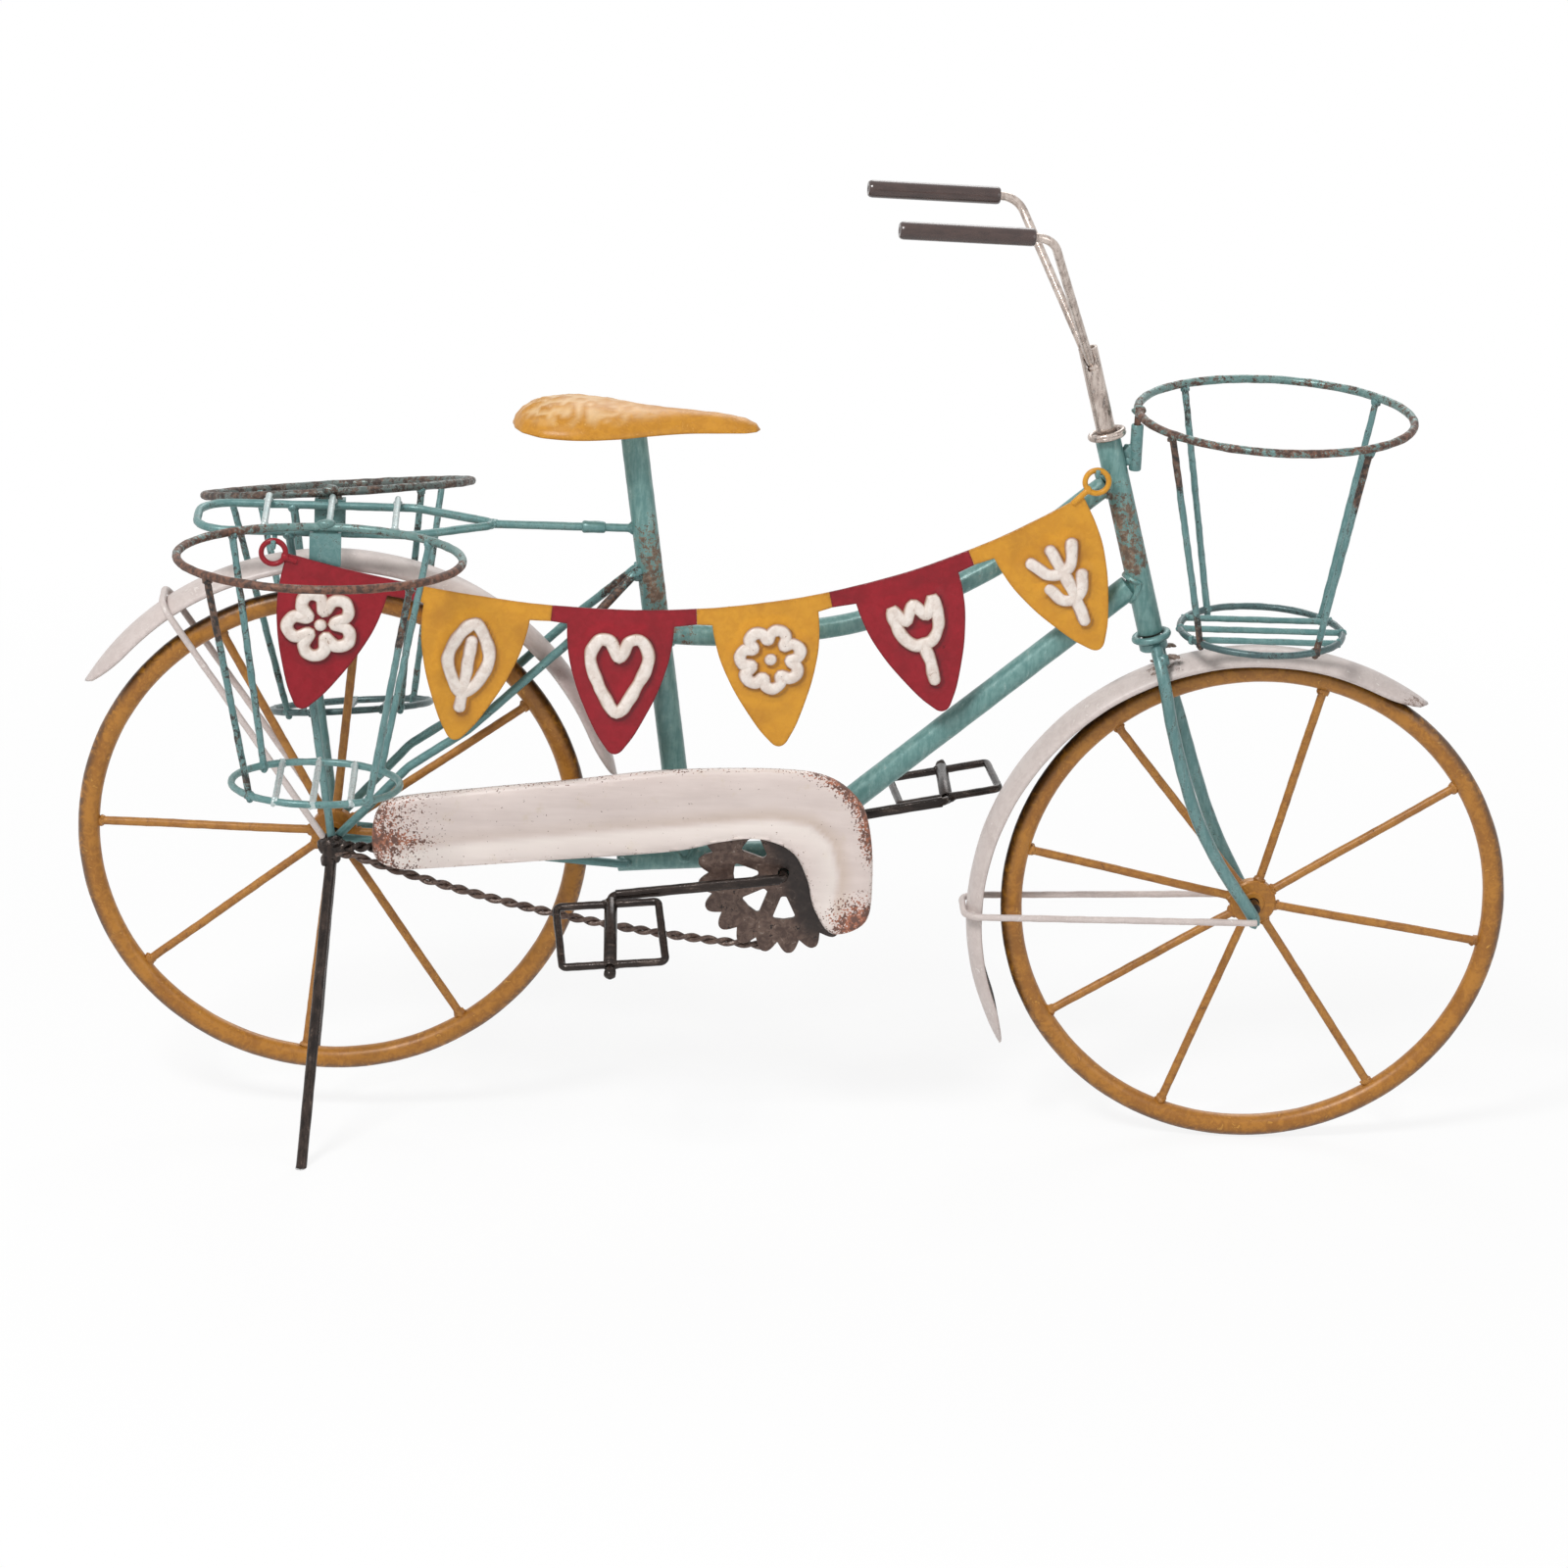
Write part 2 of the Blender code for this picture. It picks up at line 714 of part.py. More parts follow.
# Rear carrier: a closed loop of wire over the fender, a bar to the seat tube and three cross wires
rack_height = rear_hub.z + rear_fender_rise + wheel_radius + rear_fender_room + rack_over_fender
rack_middle = Vector((rear_hub.x, 0, rack_height))
loop_route = []
for ahead, side in ((-rack_rear, drive), (rack_front, drive)):
    loop_route.append(rack_middle + Vector((ahead, side * rack_half_width, 0)))
loop_route.append(rack_middle + Vector((rack_nose, drive * rack_nose_radius, 0)))
loop_route.append(rack_middle + Vector((rack_nose, plain * rack_nose_radius, 0)))
for ahead, side in ((rack_front, plain), (-rack_rear, plain)):
    loop_route.append(rack_middle + Vector((ahead, side * rack_half_width, 0)))
rack_loop = sweep("rack_loop", rounded(loop_route, rack_corner, 4, closed=True), rack_wire, 8,
                  closed=True)
dress(rack_loop, teal)
bar_start = rack_middle + forward * (rack_nose + rack_wire + gap)
bar_end = Vector((on_seat(rack_height - seat_foot.z).x, 0, rack_height))
rack_bar = rod("rack_bar", bar_start, bar_end, rack_wire, 8)
collar_start = rack_middle + forward * bar_collar_place
combine(rack_bar, [rod("collar", collar_start, collar_start + forward * bar_collar_length,
                       bar_collar_radius, 12)])
cut(rack_bar, [seat_shell()])
dress(rack_bar, teal)
cross_height = rack_wire + gap + cross_wire
for index, place in enumerate(cross_places):
    middle = rack_middle + Vector((place, 0, cross_height))
    reach = lateral * (rack_half_width + rack_wire)
    dress(rod("rack_cross_%d" % (index + 1), middle - reach, middle + reach, cross_wire, 8), teal)
for name, hand in (("right", drive), ("left", plain)):
    top = rack_middle + Vector((-strut_top_back, hand * rack_half_width, -rack_wire - gap))
    foot = rear_hub + Vector((0, hand * strut_side, 0))
    way = (top - foot).normalized()
    dress(rod("rack_strut_" + name, off_axle(foot, way, strut_wire), top - way * strut_wire * sin(
        way.angle(upward)), strut_wire, 8), teal)


# Fenders: an arched sheet swept round the wheel and drawn in at both tips
def fender(name, centre, radius, start, stop):
    steps = 30
    columns = 4
    tip = fender_tip_length / radius
    bm = bmesh.new()
    loops = []
    for step in range(steps + 1):
        angle = start + (stop - start) * step / steps
        near_end = min(angle - start, stop - angle)
        draw = min(near_end / tip, 1)
        draw = fender_tip_share + (1 - fender_tip_share) * sqrt(1 - (1 - draw) ** 2)
        way = Vector((cos(angle), 0, sin(angle)))
        loop = []
        for skin in (0, fender_sheet):
            line = []
            for column in range(columns + 1):
                share = 2 * column / columns - 1
                reach = radius - fender_arch * (share * draw) ** 2 - skin
                line.append(centre + way * reach + lateral * (fender_half_width * draw * share))
            loop += line if skin == 0 else line[::-1]
        loops.append([bm.verts.new(point) for point in loop])
    size = len(loops[0])
    for step in range(steps):
        for index in range(size):
            nxt = (index + 1) % size
            bm.faces.new((loops[step][index], loops[step][nxt], loops[step + 1][nxt],
                          loops[step + 1][index]))
    fill(bm, (loops[0][::-1], loops[-1]))
    return add(name, bm)


rear_fender_centre = rear_hub + upward * rear_fender_rise
rear_fender_radius = wheel_radius + rear_fender_room
front_fender_centre = front_hub - upward * front_fender_drop - forward * front_fender_back
front_fender_radius = wheel_radius + front_fender_room
rear_fender = fender("rear_fender", rear_fender_centre, rear_fender_radius, rear_fender_from,
                     rear_fender_to)
dress(rear_fender, cream, 0.6, 0.1)
front_fender = fender("front_fender", front_fender_centre, front_fender_radius, front_fender_from,
                      front_fender_to)
dress(settle(front_fender, crown), cream, 0.6, 0.1)


def fender_stay(name, hub, centre, radius, angle, root_side, root_shift):
    """A wire from one end of the axle, out over the fender's crown and back to the other end."""
    way = Vector((cos(angle), 0, sin(angle)))
    over = centre + way * (radius + gap + fender_stay_wire)
    route = []
    for hand in (drive, plain):
        root = hub + root_shift + lateral * (hand * root_side)
        bend = over + lateral * (hand * (fender_half_width + fender_stay_wire * 2))
        route += [root, bend] if hand == drive else [bend, root]
    return sweep(name, rounded(route, fender_stay_corner, 4), fender_stay_wire, 6)


front_stay_side = blade_side + blade_wire + gap + fender_stay_wire
front_stay = fender_stay("front_fender_stay", front_hub, front_fender_centre, front_fender_radius, pi,
                         front_stay_side, -upward * front_stay_drop)
dress(settle(front_stay, crown), cream, 0.6, 0.1)
rear_stay_way = Vector((cos(rear_stay_angle), 0, sin(rear_stay_angle)))
stay_clear = Vector((-(axle_radius + gap + fender_stay_wire), 0, 0))
rear_stay = fender_stay("rear_fender_stay", rear_hub, rear_fender_centre, rear_fender_radius,
                        rear_stay_angle, fender_stay_side, stay_clear)
dress(rear_stay, cream, 0.6, 0.1)

# Stand legs, cut level at the floor
for name, hand in (("right", drive), ("left", plain)):
    top = rear_hub + lateral * (hand * leg_top_side)
    foot = Vector((rear_hub.x - leg_foot_back, hand * leg_foot_side, 0))
    way = (foot - top).normalized()
    leg = rod("stand_leg_" + name, off_axle(top, way, leg_wire), foot + way * (leg_wire + overrun),
              leg_wire, 8)
    floor_half = Vector((leg_wire * 3, leg_wire * 3, leg_wire + overrun * 2))
    cut(leg, [slab("floor", foot - upward * floor_half.z, floor_half)])
    dress(leg, dark_iron)

# Saddle: a pressed sheet with a raised rear and a narrow nose
saddle_rear = Vector((on_seat(seat_top_height - seat_foot.z).x - saddle_length * saddle_back_share, 0,
                      saddle_rim_height))
across_steps = 8
bm = bmesh.new()
top_grid = []
low_grid = []
for along, wide in zip(saddle_along_share, saddle_width_share):
    top_line = []
    low_line = []
    for step in range(across_steps + 1):
        side = saddle_half_width * wide * (2 * step / across_steps - 1)
        place = Vector((saddle_rear.x + saddle_length * along, side, saddle_top(along, side)))
        top_line.append(bm.verts.new(place))
        low_line.append(bm.verts.new(place - upward * saddle_sheet))
    top_grid.append(top_line)
    low_grid.append(low_line)
rows = len(top_grid)
for row in range(rows - 1):
    for step in range(across_steps):
        bm.faces.new((top_grid[row][step], top_grid[row + 1][step], top_grid[row + 1][step + 1],
                      top_grid[row][step + 1]))
        bm.faces.new((low_grid[row][step], low_grid[row][step + 1], low_grid[row + 1][step + 1],
                      low_grid[row + 1][step]))
    for edge in (0, across_steps):
        bm.faces.new((top_grid[row][edge], top_grid[row + 1][edge], low_grid[row + 1][edge],
                      low_grid[row][edge]))
for row in (0, rows - 1):
    for step in range(across_steps):
        bm.faces.new((top_grid[row][step], top_grid[row][step + 1], low_grid[row][step + 1],
                      low_grid[row][step]))
dress(add("saddle", bm), garland_yellow, 0.5, 0.2)


# Chain guard: a shallow pan of sheet, open to the bicycle's middle
def inset(outline, distance):
    """The closed outline in X and Z moved inward by a distance."""
    out = []
    count = len(outline)
    for index in range(count):
        before = (outline[index] - outline[index - 1]).normalized()
        after = (outline[(index + 1) % count] - outline[index]).normalized()
        bisector = (before + after).normalized()
        inward = Vector((bisector.z, 0, -bisector.x))
        spread = max(before.dot(bisector), 0.5)
        out.append(outline[index] + inward * (distance / spread))
    return out


guard_low = Vector((bracket.x + guard_ahead - guard_length, 0, bracket.z - guard_below))
guard_outline = [guard_low + Vector((guard_length * a, 0, guard_height * u))
                 for a, u in zip(guard_along_share, guard_up_share)]
skins = (
    (guard_outline, guard_back),
    (guard_outline, guard_face - guard_bevel / 2),
    (inset(guard_outline, guard_bevel), guard_face),
    (inset(guard_outline, guard_bevel + guard_sheet / 2), guard_face - guard_sheet),
    (inset(guard_outline, guard_sheet), guard_face - guard_bevel / 2 - guard_sheet / 2),
    (inset(guard_outline, guard_sheet), guard_back),
)
bm = bmesh.new()
guard_rings = [[bm.verts.new(point - lateral * depth) for point in outline] for outline, depth in skins]
size = len(guard_outline)
for level in range(len(skins)):
    if level == 2:
        continue
    low, high = guard_rings[level], guard_rings[(level + 1) % len(skins)]
    for index in range(size):
        nxt = (index + 1) % size
        bm.faces.new((low[index], low[nxt], high[nxt], high[index]))
fill(bm, (guard_rings[2], guard_rings[3][::-1]))
dress(add("chain_guard", bm), cream, 0.6, 0.1)

# Strip that carries the guard from the axle's end, welded to the back edge of the pan
strip_middle = Vector((rear_hub.x + strip_length / 2 - strip_tail, -(strip_outside - strip_sheet / 2),
                       rear_hub.z + strip_lift))
strip_half = Vector((strip_length / 2, strip_sheet / 2, strip_height / 2))
dress(slab("guard_strip", strip_middle, strip_half), dark_iron)

# Chainring: a toothed disc fixed on the end of the cross tube. It has windows behind and below, and is
# left whole on the side toward the guard.
ring_outline = []
for tooth in range(chainring_teeth):
    for place, rise in zip(tooth_across_share, tooth_rise_share):
        reach = chainring_root + (chainring_tip - chainring_root) * rise
        angle = tau * (tooth + place) / chainring_teeth + chainring_turn
        ring_outline.append(bracket + Vector((reach * cos(angle), -chainring_side + chainring_sheet / 2,
                                              reach * sin(angle))))
chainring = plate("chainring", ring_outline, -lateral * chainring_sheet)
holes = [rod("hole", bracket - lateral * (chainring_side + overrun), bracket, crank_wire + gap * 2, 8)]
for window in range(first_window, last_window + 1):
    middle_angle = tau * window / chainring_windows + window_turn
    corners = []
    for reach, offsets in ((window_inner, (-1, 0, 1)), (window_outer, (1, 0, -1))):
        half_angle = pi / chainring_windows - asin(window_spoke / 2 / reach)
        for offset in offsets:
            angle = middle_angle + offset * half_angle
            corners.append(bracket + Vector((reach * cos(angle), -(chainring_side + overrun),
                                             reach * sin(angle))))
    holes.append(plate("window", corners, lateral * (overrun * 2)))
cut(chainring, holes)
dress(chainring, dark_iron, 0.6, 0.6)

# Chain: two wires twisted together, from below the strip to behind the ring's lowest teeth
chain_end = bracket + Vector((-chain_end_behind,
                              -(chainring_side - chainring_sheet / 2 - gap - chain_half_width),
                              -(chainring_tip - chain_half_width)))
chain_start = Vector((rear_hub.x + chain_start_ahead, strip_middle.y,
                      strip_middle.z - strip_half.z - gap - chain_half_width))
chain_steps = ceil((chain_end - chain_start).length / chain_turn * 5)
chain_line = []
for step in range(chain_steps + 1):
    share = step / chain_steps
    sag = chain_sag * 4 * share * (1 - share)
    chain_line.append(chain_start.lerp(chain_end, share) - upward * sag)
chain = sweep("chain", chain_line, chain_half_width, 6, section=(chain_half_width, chain_half_thick),
              twist=pi / 5)
dress(chain, dark_iron, 0.6, 0.6)

# Crank: one wire bent into two arms, with a bead at the end of each spindle
right_arm = Vector((-cos(crank_right_pitch), 0, -sin(crank_right_pitch))) * crank_length
left_arm = Vector((cos(crank_left_pitch), 0, sin(crank_left_pitch))) * crank_length
pedal_start = crank_bend + gap * 2
spindle = pedal_start + pedal_width + spindle_play + ball_radius
right_centre = bracket - lateral * crank_right_side
left_centre = bracket + lateral * crank_left_side
right_way = Vector((0, -cos(spindle_droop), -sin(spindle_droop)))
left_way = lateral
right_tip = right_centre + right_arm + right_way * spindle
left_tip = left_centre + left_arm + left_way * spindle
crank_route = [right_tip, right_centre + right_arm, right_centre, left_centre, left_centre + left_arm,
               left_tip]
crank = sweep("crank", rounded(crank_route, crank_bend, 3), crank_wire, 8)
combine(crank, [bead("bead", right_tip, ball_radius), bead("bead", left_tip, ball_radius)])
dress(settle(crank, bracket), dark_iron, 0.6, 0.6)


# Pedals: a wire frame on a short tube that turns on the spindle
def pedal(name, centre, arm, way):
    root = centre + arm
    length_way = (arm - way * arm.dot(way)).normalized()
    start = root + way * pedal_start
    end = start + way * pedal_width
    tube = rod(name, start, end, pedal_tube, 12)
    edge = pedal_wire + gap
    corners = []
    for offset, step, lean in ((-1, edge, 1), (1, edge, 1), (1, pedal_width - edge, -1),
                               (-1, pedal_width - edge, -1)):
        place = offset * pedal_length / 2 + lean * pedal_lean
        corners.append(start + way * step + length_way * place)
    frame = sweep("frame", rounded(corners, pedal_corner, 3, closed=True), pedal_wire, 6, closed=True)
    combine(tube, [frame])
    bore = rod("bore", start - way * overrun, end + way * overrun, crank_wire + gap, 8)
    cut(tube, [bore])
    dress(settle(tube, root), dark_iron, 0.6, 0.6)


pedal("pedal_right", right_centre, right_arm, right_way)
pedal("pedal_left", left_centre, left_arm, left_way)


# Pot holders: a rim with its hanger, and a cage of four uprights on a smaller ring with three bars
def holder(prefix, hang, outward, tilt, swing, start):
    """hang is the rim wire's centre above the hanger, and outward points away from the bicycle.

    The holder is tilted about the wire at the hanger and swung about the outward line, and start
    turns its uprights round the rim.
    """
    turn = Matrix.Rotation(swing, 3, outward) @ Matrix.Rotation(tilt, 3, outward.cross(upward))
    away = turn @ outward
    normal = turn @ upward
    side = away.cross(normal)
    centre = hang + away * holder_radius
    base = centre - normal * holder_depth
    rim = sweep(prefix + "_rim", [centre + away * (holder_radius * cos(tau * k / 32))
                                  + side * (holder_radius * sin(tau * k / 32)) for k in range(32)],
                holder_wire, 6, closed=True)
    cage = sweep(prefix + "_cage", [base + away * (holder_base_radius * cos(tau * k / 24))
                                    + side * (holder_base_radius * sin(tau * k / 24)) for k in range(24)],
                 holder_base_wire, 6, closed=True)
    wires = []
    for quarter in range(4):
        angle = tau * (quarter + 0.5) / 4 + start
        radial = away * cos(angle) + side * sin(angle)
        foot = base + radial * holder_base_radius
        head = centre + radial * holder_radius
        way = (head - foot).normalized()
        wires.append(rod("upright", foot, head - way * (holder_wire + gap * 2), holder_upright_wire, 6))
    for offset in (-1, 0, 1):
        half = sqrt(holder_base_radius ** 2 - (holder_bar_offset * offset) ** 2)
        middle = base + side * (holder_bar_offset * offset)
        wires.append(rod("bar", middle - away * half, middle + away * half, holder_bar_wire, 6))
    combine(cage, wires)
    dress(settle(cage, hang), teal)
    return rim


sleeve_inner = Vector((tab_width / 2 + gap, tab_sheet / 2 + gap, 0))
sleeve_half = Vector((sleeve_inner.x + sleeve_wall, sleeve_inner.y + sleeve_wall, sleeve_height / 2))
sleeve_side = rack_half_width + rack_wire + gap + sleeve_half.y
sleeve_top = rack_height + rack_wire
for name, hand, tilt, swing in (("right", drive, right_tilt, 0), ("left", plain, left_tilt, -left_swing)):
    middle = Vector((rear_hub.x + sleeve_place, hand * sleeve_side, sleeve_top - sleeve_height / 2))
    sleeve = slab("holder_sleeve_" + name, middle, sleeve_half)
    slot_half = Vector((sleeve_inner.x, sleeve_inner.y, sleeve_height))
    cut(sleeve, [slab("slot", middle, slot_half)])
    dress(sleeve, teal)
    rim_dip = sleeve_half.x * sin(abs(swing))
    hang = middle + upward * (sleeve_height / 2 + gap + holder_wire + rim_dip)
    rim = holder("holder_" + name, hang, lateral * hand, tilt, swing, rear_turn)
    tab_half = Vector((tab_width / 2, tab_sheet / 2, tab_length / 2))
    tab = slab("tab", hang - upward * tab_half.z, tab_half)
    combine(rim, [tab])
    dress(settle(rim, hang), teal)

sleeve_foot_height = on_head(head_top).z - front_sleeve_below
front_sleeve_x = (on_head((sleeve_foot_height - crown.z) / head_axis.z).x
                  + (head_radius + gap) / cos(head_lean) + front_sleeve_radius)
front_sleeve_foot = Vector((front_sleeve_x, 0, sleeve_foot_height))
front_sleeve_top = front_sleeve_foot + upward * front_sleeve_height
front_sleeve = pipe("holder_sleeve_front", front_sleeve_foot, front_sleeve_top, front_sleeve_radius,
                    peg_wire + gap, 12)
dress(front_sleeve, teal)
front_hang = front_sleeve_top + upward * (gap + holder_wire * 3)
front_rim = holder("holder_front", front_hang, forward, 0, 0, front_turn)
combine(front_rim, [rod("peg", front_hang, front_sleeve_top - upward * peg_length, peg_wire, 8)])
dress(settle(front_rim, front_hang), teal)

# Garland hooks: short wires on the carrier's rail and on the head tube
rear_hook_root = rack_middle + Vector((-rear_hook_back, -rack_half_width, -rack_wire - gap))
rear_hook_low = rear_hook_root - upward * rear_hook_drop
rear_hook_end = rear_hook_low - lateral * (rear_hook_reach + hook_over)
rear_hook = sweep("garland_hook_rear", rounded([rear_hook_root, rear_hook_low, rear_hook_end,
                                                rear_hook_end + upward * hook_tip],
                                               garland_hook_wire * 1.5, 3), garland_hook_wire, 6)
dress(rear_hook, teal)
hook_height_on_head = head_top - front_hook_down
hook_anchor = on_head(hook_height_on_head)
anchor_way = Vector((-1, -2, 0)).normalized()
front_hook_root = hook_anchor + anchor_way * (head_radius / cos(head_lean) + gap)
front_hook_end = hook_anchor + Vector((-front_hook_back, -(front_hook_side + hook_over), 0))
front_hook_bend = Vector((front_hook_end.x, front_hook_root.y - garland_hook_wire * 2, hook_anchor.z))
front_hook = sweep("garland_hook_front", rounded([front_hook_root, front_hook_bend, front_hook_end,
                                                  front_hook_end + upward * hook_tip],
                                                 garland_hook_wire * 1.5, 3), garland_hook_wire, 6)
dress(front_hook, teal)

# Garland: one sheet of six pennants on a sagging band, with a loop of wire at each end
loop_drop = upward * (garland_loop_radius - garland_loop_wire - garland_hook_wire - gap)
rear_loop = rear_hook_end + lateral * hook_over - loop_drop
front_loop = front_hook_end + lateral * hook_over - loop_drop
plan = Vector((front_loop.x - rear_loop.x, front_loop.y - rear_loop.y, 0))
plan_length = plan.length
plan_way = plan / plan_length
sheet_normal = plan_way.cross(upward)
first_corner = rear_loop + plan_way * loop_to_sheet - upward * rear_corner_drop
last_corner = front_loop - plan_way * loop_to_sheet - upward * front_corner_drop
band_length = plan_length - loop_to_sheet * 2
samples = pennant_count * 20


def band_point(share):
    """A point on the band's top edge, at a share of the way along it in plan."""
    place = first_corner.lerp(last_corner, share)
    lean = 1 + garland_skew * (share - 0.5)
    return place - upward * (garland_sag * 4 * share * (1 - share) * lean)


band = [band_point(step / samples) for step in range(samples + 1)]
reached = [0.0]
for step in range(samples):
    reached.append(reached[-1] + (band[step + 1] - band[step]).length)


def along_band(distance):
    """The point and the direction of the band's top edge at a length along it."""
    step = 0
    while step < samples - 1 and reached[step + 1] < distance:
        step += 1
    share = (distance - reached[step]) / (reached[step + 1] - reached[step])
    return band[step].lerp(band[step + 1], share), (band[step + 1] - band[step]).normalized()


pitch = (reached[-1] - pennant_width) / (pennant_count - 1)
outline = [band[step] for step in range(0, samples + 1, 5)]
for pennant in reversed(range(pennant_count)):
    middle, way = along_band(pennant_width / 2 + pitch * pennant)
    down = way.cross(sheet_normal).normalized()
    if down.z > 0:
        down = -down
    corners = [(s, d) for s, d in zip(pennant_side_share, pennant_drop_share)]
    places = corners + [(0, 1)] + [(-s, d) for s, d in reversed(corners)]
    for side_share, drop_share in places:
        outline.append(middle + way * (pennant_width * side_share) + down * (pennant_drop * drop_share))
garland = plate("garland", [point - sheet_normal * (garland_sheet / 2) for point in outline],
                sheet_normal * garland_sheet)
loops = [ring("loop", rear_loop, sheet_normal, garland_loop_radius, garland_loop_wire, 16, 6),
         ring("loop", front_loop, sheet_normal, garland_loop_radius, garland_loop_wire, 16, 6)]
tie = loop_to_sheet - garland_loop_radius
loops += [rod("tie", rear_loop + plan_way * garland_loop_radius,
              first_corner + plan_way * (tie + strip_band / 2) - upward * strip_band / 2,
              garland_loop_wire, 6),
          rod("tie", front_loop - plan_way * garland_loop_radius,
              last_corner - plan_way * (tie + strip_band / 2) - upward * strip_band / 2,
              garland_loop_wire, 6)]
combine(garland, loops)
dress(settle(garland, rear_loop + loop_drop), garland_yellow, 0.45, 0.2)
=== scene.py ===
from math import ceil, cos, pi, radians, sin, sqrt, tau

import bmesh
import bpy
from mathutils import Matrix, Vector, noise
from mathutils.kdtree import KDTree


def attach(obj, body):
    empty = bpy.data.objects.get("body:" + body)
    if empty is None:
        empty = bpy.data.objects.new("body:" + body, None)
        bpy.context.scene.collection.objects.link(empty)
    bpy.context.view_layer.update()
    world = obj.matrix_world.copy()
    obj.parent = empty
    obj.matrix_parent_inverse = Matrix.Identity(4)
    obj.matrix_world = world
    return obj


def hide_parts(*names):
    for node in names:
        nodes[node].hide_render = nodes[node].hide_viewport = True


# The visual model of a bicycle planter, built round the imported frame. Lengths are in millimetres
# and scaled once. The bicycle points along +X, its drive side faces -Y and the floor is z = 0.

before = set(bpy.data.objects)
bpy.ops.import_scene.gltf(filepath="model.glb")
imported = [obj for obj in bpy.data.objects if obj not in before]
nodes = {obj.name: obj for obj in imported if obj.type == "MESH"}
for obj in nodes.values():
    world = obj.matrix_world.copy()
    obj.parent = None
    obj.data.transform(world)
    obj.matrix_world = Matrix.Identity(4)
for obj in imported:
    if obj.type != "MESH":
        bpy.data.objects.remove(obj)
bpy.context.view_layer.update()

MM = 0.001
UP = Vector((0, 0, 1))
AHEAD = Vector((1, 0, 0))
LEFT = Vector((0, 1, 0))
HANDS = (("right", -1), ("left", 1))
REAR_HUB = Vector((-169.3, 0, 111.0))
FRONT_HUB = Vector((169.3, 0, 93.2))
BRACKET = Vector((-5.3, 0, 107.2))
CROWN = Vector((126.3, 0, 192.3))
HEAD_LEAN = radians(15.3)
HEAD_AXIS = Vector((-sin(HEAD_LEAN), 0, cos(HEAD_LEAN)))


def on_head(distance):
    """The place on the steering axis at a distance above the fork's crown."""
    return CROWN + HEAD_AXIS * distance


def clamped(value, low=0):
    return min(max(value, low), 1)


def vectors(places):
    return [Vector(place) for place in places]


# ---------------------------------------------------------------- materials

WHITE = (1, 1, 1, 1)


def srgb(red, green, blue):
    """A colour written in screen values from 0 to 255, as the linear colour that shaders take."""
    return tuple(((v / 255 + 0.055) / 1.055) ** 2.4 if v > 10 else v / 255 / 12.92
                 for v in (red, green, blue)) + (1.0,)


class Net:
    """A tree of shader nodes."""

    def __init__(self, tree):
        self.tree = tree

    def put(self, socket, value):
        if isinstance(value, bpy.types.NodeSocket):
            self.tree.links.new(value, socket)
        else:
            socket.default_value = value

    def node(self, kind, inputs=None, **settings):
        """Makes a node, links or sets the inputs that are given, and returns its outputs."""
        made = self.tree.nodes.new(kind)
        for name, value in settings.items():
            setattr(made, name, value)
        for key, value in (inputs or {}).items():
            self.put(made.inputs[key], value)
        return made.outputs

    def plus(self, a, b, clamp=False):
        return self.node("ShaderNodeMath", {0: a, 1: b}, operation="ADD", use_clamp=clamp)[0]

    def times(self, a, b):
        return self.node("ShaderNodeMath", {0: a, 1: b}, operation="MULTIPLY")[0]


class Material(Net):
    """A material's nodes. Noise sizes and places are in millimetres of the piece's own space."""

    def __init__(self, name, slot):
        self.made = bpy.data.materials.new(name)
        self.made.use_nodes = True
        super().__init__(self.made.node_tree)
        self.shader = self.tree.nodes["Principled BSDF"]
        metres = self.node("ShaderNodeTexCoord")["Object"]
        self.place = self.node("ShaderNodeVectorMath", {0: metres, "Scale": 1000},
                               operation="SCALE")[0]

    def noise(self, size, detail, rough, stretch=None, warp=0.0):
        place = self.place
        if stretch:
            place = self.node("ShaderNodeMapping", {"Vector": place, "Scale": stretch})[0]
        return self.node("ShaderNodeTexNoise", {
            "Vector": place, "Scale": 1 / size, "Detail": detail, "Roughness": rough,
            "Distortion": warp})[0]

    def step(self, value, low, high):
        return self.node("ShaderNodeMapRange", {"Value": value, "From Min": low, "From Max": high},
                         interpolation_type="SMOOTHSTEP")[0]

    def mix(self, share, a, b):
        return self.node("ShaderNodeMix", {0: share, 6: a, 7: b}, data_type="RGBA")[2]

    def total(self, *terms):
        """The sum of values, each times its weight."""
        parts = [self.times(value, weight) for value, weight in terms]
        out = parts[0]
        for part in parts[1:]:
            out = self.plus(out, part)
        return out

    def spot(self, centre, radius):
        """1 at a place and 0 from the radius on."""
        apart = self.node("ShaderNodeVectorMath", {0: self.place, 1: centre}, operation="DISTANCE")
        return self.step(apart["Value"], radius, 0)

    def painted(self, name="mark"):
        """A value from 0 to 1 that the mesh carries at each vertex."""
        return self.node("ShaderNodeAttribute", attribute_name=name)["Fac"]

    def shade(self, colour, roughness, height, strength):
        """Leads a colour, a roughness and a relief of half a millimetre into the shader."""
        normal = self.node("ShaderNodeBump", {"Strength": strength, "Distance": 0.5 * MM,
                                              "Height": height})[0]
        for socket, value in (("Base Color", colour), ("Roughness", roughness), ("Normal", normal)):
            self.put(self.shader.inputs[socket], value)
        return self.made


